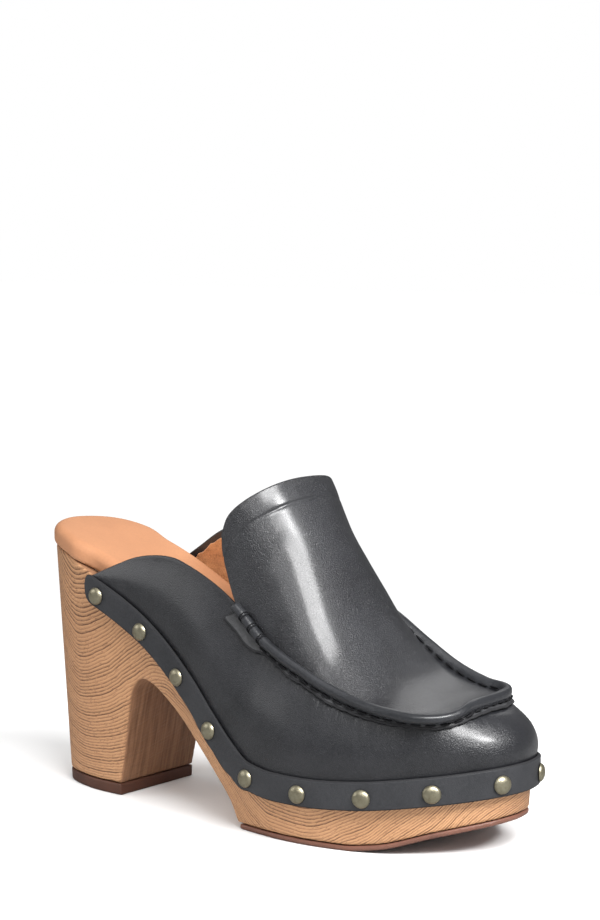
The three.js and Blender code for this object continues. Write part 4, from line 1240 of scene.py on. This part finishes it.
def makeWraps():
    steps, half = 48, seam["wrapTurn"] * np.pi
    angle = np.linspace(-half, half, steps)
    across, up = beadSection(np.sin(angle), np.cos(angle))
    tight = 0.97   # the thread bites a little into the bead
    across, up = across * seam["beadHalfWidth"] * tight, up * seam["beadHalfHeight"] * tight
    bow = np.abs(np.sin(np.linspace(0, 2 * np.pi, steps)))[:, None]
    for name, fromInner in (("outer", False), ("inner", True)):
        lines = []
        for at in seam["wraps"]:
            for shift in (-0.5, 0.5):
                run = at + shift * seam["wrapSpacing"]
                i = seamRow(seamLength - run if fromInner else run)
                slant = seamAlong[i] * (0.6 * angle[:, None] / np.pi)
                over = seamAcross[i] * across[:, None] + seamUp[i] * up[:, None]
                lines.append(beadMiddle(i) + over + slant)
        # a length of thread passes from wrap to wrap inside the bead
        runs = np.linspace(seam["wraps"][0], seam["wraps"][-1], steps)
        ids = np.array([seamRow(seamLength - run if fromInner else run) for run in runs])
        lines.append(seamPoint[ids] - seamAcross[ids] * (seam["beadHalfWidth"] + 0.1 + 0.9 * bow)
                     + seamUp[ids] * (last["gap"] + 2.6 + 0.4 * bow))
        piece = sweptRod(f"{name}Wraps", lines, seam["wrapRadius"], 8)
        settle(dress(piece, "thread"), "waxed_thread", *(f"wrap_{name}_{k}" for k in (1, 2, 3)))


makeBead()
makeMargin()
makeStitches()
makeWraps()
print("seam made")

# ---- nailed band and studs ----
band = {
    "width": 10.4, "backStation": 42, "rows": 520, "columns": 18, "endLength": 4.8,
    "studCount": 18, "firstInset": 7.6, "studLift": 0.42, "headRadius": 3.8, "headRise": 2.1,
    "shankRadius": 1.1, "shankLength": 9,
}


def outlineShare(station, outer):
    # share of the outline where one side of it passes a station
    xs = outline[:outlineSteps // 2 + 1, 0] if outer else outline[:outlineSteps // 2 - 1:-1, 0]
    peak = int(np.argmax(xs))
    share = np.interp(station, np.maximum.accumulate(xs[:peak]), np.arange(peak)) / outlineSteps
    return share if outer else 1 - share


def bandEdges(shares):
    reference = outlinePoint(shares, woodInset)[:, 0]
    high = soleEdge(reference)
    return high - band["width"] * slopeFactor(reference), high


def makeBand():
    start, end = outlineShare(band["backStation"], True), outlineShare(band["backStation"], False)
    shares = np.linspace(start, end, 2400)
    low, high = bandEdges(shares)
    middle = outlinePoint(shares, 0)
    middle[:, 2] = low + (high - low) * 0.5
    run = lengthsAlong(middle)
    even = np.linspace(0, run[-1], band["rows"])
    # rows crowd into the two rounded ends
    ends = band["endLength"] * (1 - np.cos(np.linspace(0, 0.5 * np.pi, 18)))
    even = np.r_[ends, even[(even > band["endLength"] + 0.4) & (even < run[-1] - band["endLength"] - 0.4)],
                 run[-1] - ends[::-1]]
    shares = np.interp(even, run, shares)
    low, high = bandEdges(shares)
    base = outlinePoint(shares, 0)
    fromEnd = np.minimum(even, run[-1] - even)
    reach = np.clip(1 - fromEnd / band["endLength"], 0, 1)
    half = np.clip(1 - reach ** 2.8, 0.0002, 1) ** (1 / 2.8) * (high - low) / 2
    level = np.linspace(-1, 1, band["columns"])[None]
    grid = np.repeat(base[:, None], band["columns"], 1)
    grid[..., 2] = ((high + low) / 2)[:, None] + half[:, None] * level
    normals = gridNormals(grid)
    normals[..., 2] *= 0.3
    normals = unit(normals)
    piece = roundedSheet("nailedBand", grid, normals, -last["band"], 0.0, 5)
    settle(dress(piece, "band"), "grey_leather", "nailed_band")
    return start, end


def studShape():
    # domed head with a rolled lip, and a shank, turned about +Z
    r, h = band["headRadius"], band["headRise"]
    shank, point = band["shankRadius"], -band["shankLength"]
    dome = [(r * math.sin(a), h * math.cos(a) ** 0.9, 0)
            for a in np.linspace(0.001, 0.5 * math.pi - 0.12, 12)]
    profile = dome + [(r, 0.25, 1), (r * 0.99, 0.02, 1), (r * 0.9, -0.1, 1), (shank, -0.1, 1),
                      (shank, 3 + point, 1), (0.05, point, 1)]
    around = 28
    turn = np.linspace(0, 2 * np.pi, around, endpoint=False)
    points = np.array([(out * math.cos(a), out * math.sin(a), up) for out, up, _ in profile for a in turn])
    mesh = bpy.data.meshes.new("studShape")
    mesh.from_pydata((points / 1000).tolist(), [], closedTube(len(profile), around))
    # the last value of each profile entry marks the lip and shank, painted dark by the brass finish as
    # contact shade
    addMark(mesh, "rim", np.repeat([dark for _, _, dark in profile], around))
    return closePiece(addObject("studShape", mesh))


def studNodes(shape):
    # one stud at each point, its head turned along the point's own direction
    tree, g = newRepeat("bandStuds", 7, Size=1.0, Lean=0.04)
    points = node(tree, "GeometryNodeMeshToPoints", {"Mesh": g["Geometry"]})
    facing = node(tree, "GeometryNodeInputNamedAttribute", {"Name": "outward"}, data_type="FLOAT_VECTOR")
    stray = node(tree, "FunctionNodeRandomValue", data_type="FLOAT_VECTOR")
    stray.inputs[0].default_value = (-1, -1, -1)
    stray.inputs[1].default_value = (1, 1, 1)
    tree.links.new(g["Seed"], stray.inputs["Seed"])
    stray = node(tree, "ShaderNodeVectorMath", {0: stray.outputs[0], "Scale": g["Lean"]}, operation="SCALE")
    aim = node(tree, "ShaderNodeVectorMath", {0: facing.outputs["Attribute"], 1: stray.outputs[0]},
               operation="ADD")
    turn = node(tree, "FunctionNodeAlignRotationToVector", {"Vector": aim.outputs[0]}, axis="Z")
    head = node(tree, "GeometryNodeObjectInfo", {"Object": shape})
    place = node(tree, "GeometryNodeInstanceOnPoints", {
        "Points": points.outputs[0], "Instance": head.outputs["Geometry"], "Rotation": turn.outputs[0]})
    sized = node(tree, "GeometryNodeScaleInstances", {"Instances": place.outputs[0]})
    link(tree, sized, "Scale", node(tree, "ShaderNodeCombineXYZ", {
        "X": g["Size"], "Y": g["Size"], "Z": 1.0}).outputs[0])
    return endRepeat(tree, sized.outputs[0], g["Finish"])


def makeStuds(start, end):
    shares = np.linspace(start, end, 3000)
    low, high = bandEdges(shares)
    line = outlinePoint(shares, 0)
    line[:, 2] = low + (high - low) * band["studLift"]
    run = lengthsAlong(line)
    at = np.linspace(band["firstInset"], run[-1] - band["firstInset"], band["studCount"])
    spots = np.stack([np.interp(at, run, line[:, k]) for k in range(3)], -1)
    along = np.stack([np.interp(at, run, np.gradient(line, axis=0)[:, k]) for k in range(3)], -1)
    outward = unit(np.stack([along[:, 1], -along[:, 0], 0 * along[:, 0]], -1))
    mesh = bpy.data.meshes.new("studSpots")
    mesh.from_pydata(toFrame(spots + outward * last["gap"] * 0.6).tolist(), [], [])
    addMark(mesh, "outward", outward, "FLOAT_VECTOR")
    shape = studShape()
    piece = runNodes("bandStuds", addObject("studSpots", mesh), studNodes(shape), {
        "Size": 1.0, "Lean": 0.03, "Seed": 7, "Finish": finishes["brass"]})
    bpy.data.objects.remove(shape)
    settle(piece, "antique_brass", *(f"stud_{k:02d}" for k in range(1, band["studCount"] + 1)))


bandStart, bandEnd = makeBand()
makeStuds(bandStart, bandEnd)
print("band and studs made")

# ---- hidden pieces keep their CAD shape ----
for name, finish in (("footbed_foam", "foam"), ("toe_stiffener", "board"), ("lift_nail_1", "steel"),
                     ("lift_nail_2", "steel"), ("lift_nail_3", "steel")):
    dress(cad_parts[name], finish)

# ---- floor, light and camera ----
studio = {
    "target": (0.088, 0.0, 0.050), "floorTone": 0.86, "floorReach": 6.0, "sweepFrom": 0.24, "sweepTo": 0.60,
    "softLight": 0.62, "mirrorLight": 0.115, "mirrorFloor": 0.22,
    "softboxes": [   # azimuth, elevation, distance, width, height, power
        ("keySoftbox", 64, 47, 1.1, 0.66, 0.40, 15.5),
        ("fillSoftbox", 20, 38, 1.3, 0.8, 0.7, 3.2),
        ("toeSoftbox", 84, 35, 1.1, 0.24, 0.16, 7.0),
        ("topSoftbox", 10, 84, 1.6, 1.3, 1.3, 3.6),
        ("leftSoftbox", -55, 26, 1.6, 1.0, 0.8, 4.4),
        ("backSoftbox", -152, 32, 1.6, 0.9, 0.6, 1.8)],
}


def direction(azimuth, elevation):
    a, e = math.radians(azimuth), math.radians(elevation)
    return Vector((math.sin(a) * math.cos(e), -math.cos(a) * math.cos(e), math.sin(e)))


def aimBack(made, azimuth, elevation, distance):
    # places a lamp or the camera away from the target and turns it to face it
    away = direction(azimuth, elevation)
    made.location = Vector(studio["target"]) + away * distance
    made.rotation_mode = "QUATERNION"
    made.rotation_quaternion = away.to_track_quat("Z", "Y")
    return made


def makeStudio():
    mesh = bpy.data.meshes.new("floor")
    s = studio["floorReach"]
    mesh.from_pydata([(-s, -s, 0), (s, -s, 0), (s, s, 0), (-s, s, 0)], [], [(0, 1, 2, 3)])
    floor = addObject("floor", mesh)
    material, tree, shader, where = newMaterial("paleFloor")
    # the sweep of paper turns to plain white away from the clog
    faint = noise(tree, where.outputs["Object"], 3.0, 2.0)
    tone = studio["floorTone"]
    middle = (*studio["target"][:2], 0)
    away = node(tree, "ShaderNodeVectorMath", {0: where.outputs["Object"], 1: middle},
                operation="DISTANCE").outputs["Value"]
    sweep = node(tree, "ShaderNodeMapRange", {
        "Value": away, "From Min": studio["sweepFrom"], "From Max": studio["sweepTo"]},
        interpolation_type="SMOOTHSTEP").outputs["Result"]
    paper = blendTone(tree, faint, (tone, tone, tone), (tone + 0.02,) * 3)
    path = node(tree, "ShaderNodeLightPath").outputs
    seen, mirrored = path["Is Camera Ray"], path["Is Glossy Ray"]
    dim = maths(tree, "MULTIPLY", mirrored, 1 - studio["mirrorFloor"])
    dim = maths(tree, "MAXIMUM", sweep, dim)
    link(tree, shader, "Base Color", blendTone(tree, dim, paper, (0.0, 0.0, 0.0)))
    shader.inputs["Emission Color"].default_value = (1, 1, 1, 1)
    shine = mapRange(tree, seen, 0.0, 1.0, 0.25, 1.05)
    link(tree, shader, "Emission Strength", maths(tree, "MULTIPLY", sweep, shine))
    shader.inputs["Roughness"].default_value = 0.9
    shader.inputs["Specular IOR Level"].default_value = 0.1
    mesh.materials.append(material)
    for name, azimuth, elevation, far, wide, high, power in studio["softboxes"]:
        lamp = bpy.data.lights.new(name, "AREA")
        lamp.shape, lamp.size, lamp.size_y, lamp.energy = "RECTANGLE", wide, high, power
        aimBack(addObject(name, lamp), azimuth, elevation, far)
    world = bpy.data.worlds.new("studioWorld")
    bpy.context.scene.world = world
    world.use_nodes = True
    tree = world.node_tree
    tree.nodes.clear()
    seen = node(tree, "ShaderNodeBackground", {"Color": (1, 1, 1, 1), "Strength": 1.0})
    path = node(tree, "ShaderNodeLightPath")
    soft = path.outputs["Is Diffuse Ray"]
    amount = mapRange(tree, soft, 0.0, 1.0, studio["mirrorLight"], studio["softLight"])
    lit = node(tree, "ShaderNodeBackground", {"Color": (1, 1, 1, 1), "Strength": amount})
    both = node(tree, "ShaderNodeMixShader", {
        0: path.outputs["Is Camera Ray"], 1: lit.outputs[0], 2: seen.outputs[0]})
    out = tree.nodes.new("ShaderNodeOutputWorld")
    tree.links.new(both.outputs[0], out.inputs[0])
    bpy.context.scene.view_settings.view_transform = "Standard"
    bpy.context.scene.view_settings.look = "None"


camera = {
    "azimuth": 38.3, "elevation": 11.4, "distance": 1.0, "lens": 92.07, "shiftX": 0.0299, "shiftY": 0.2533,
}


def makeCamera():
    data = bpy.data.cameras.new("studioCamera")
    data.lens, data.sensor_width, data.sensor_fit = camera["lens"], 36, "AUTO"
    data.shift_x, data.shift_y = camera["shiftX"], camera["shiftY"]
    data.clip_start, data.clip_end = 0.01, 50
    made = addObject("studioCamera", data)
    bpy.context.scene.camera = aimBack(made, camera["azimuth"], camera["elevation"], camera["distance"])


makeStudio()
makeCamera()
print("studio made")
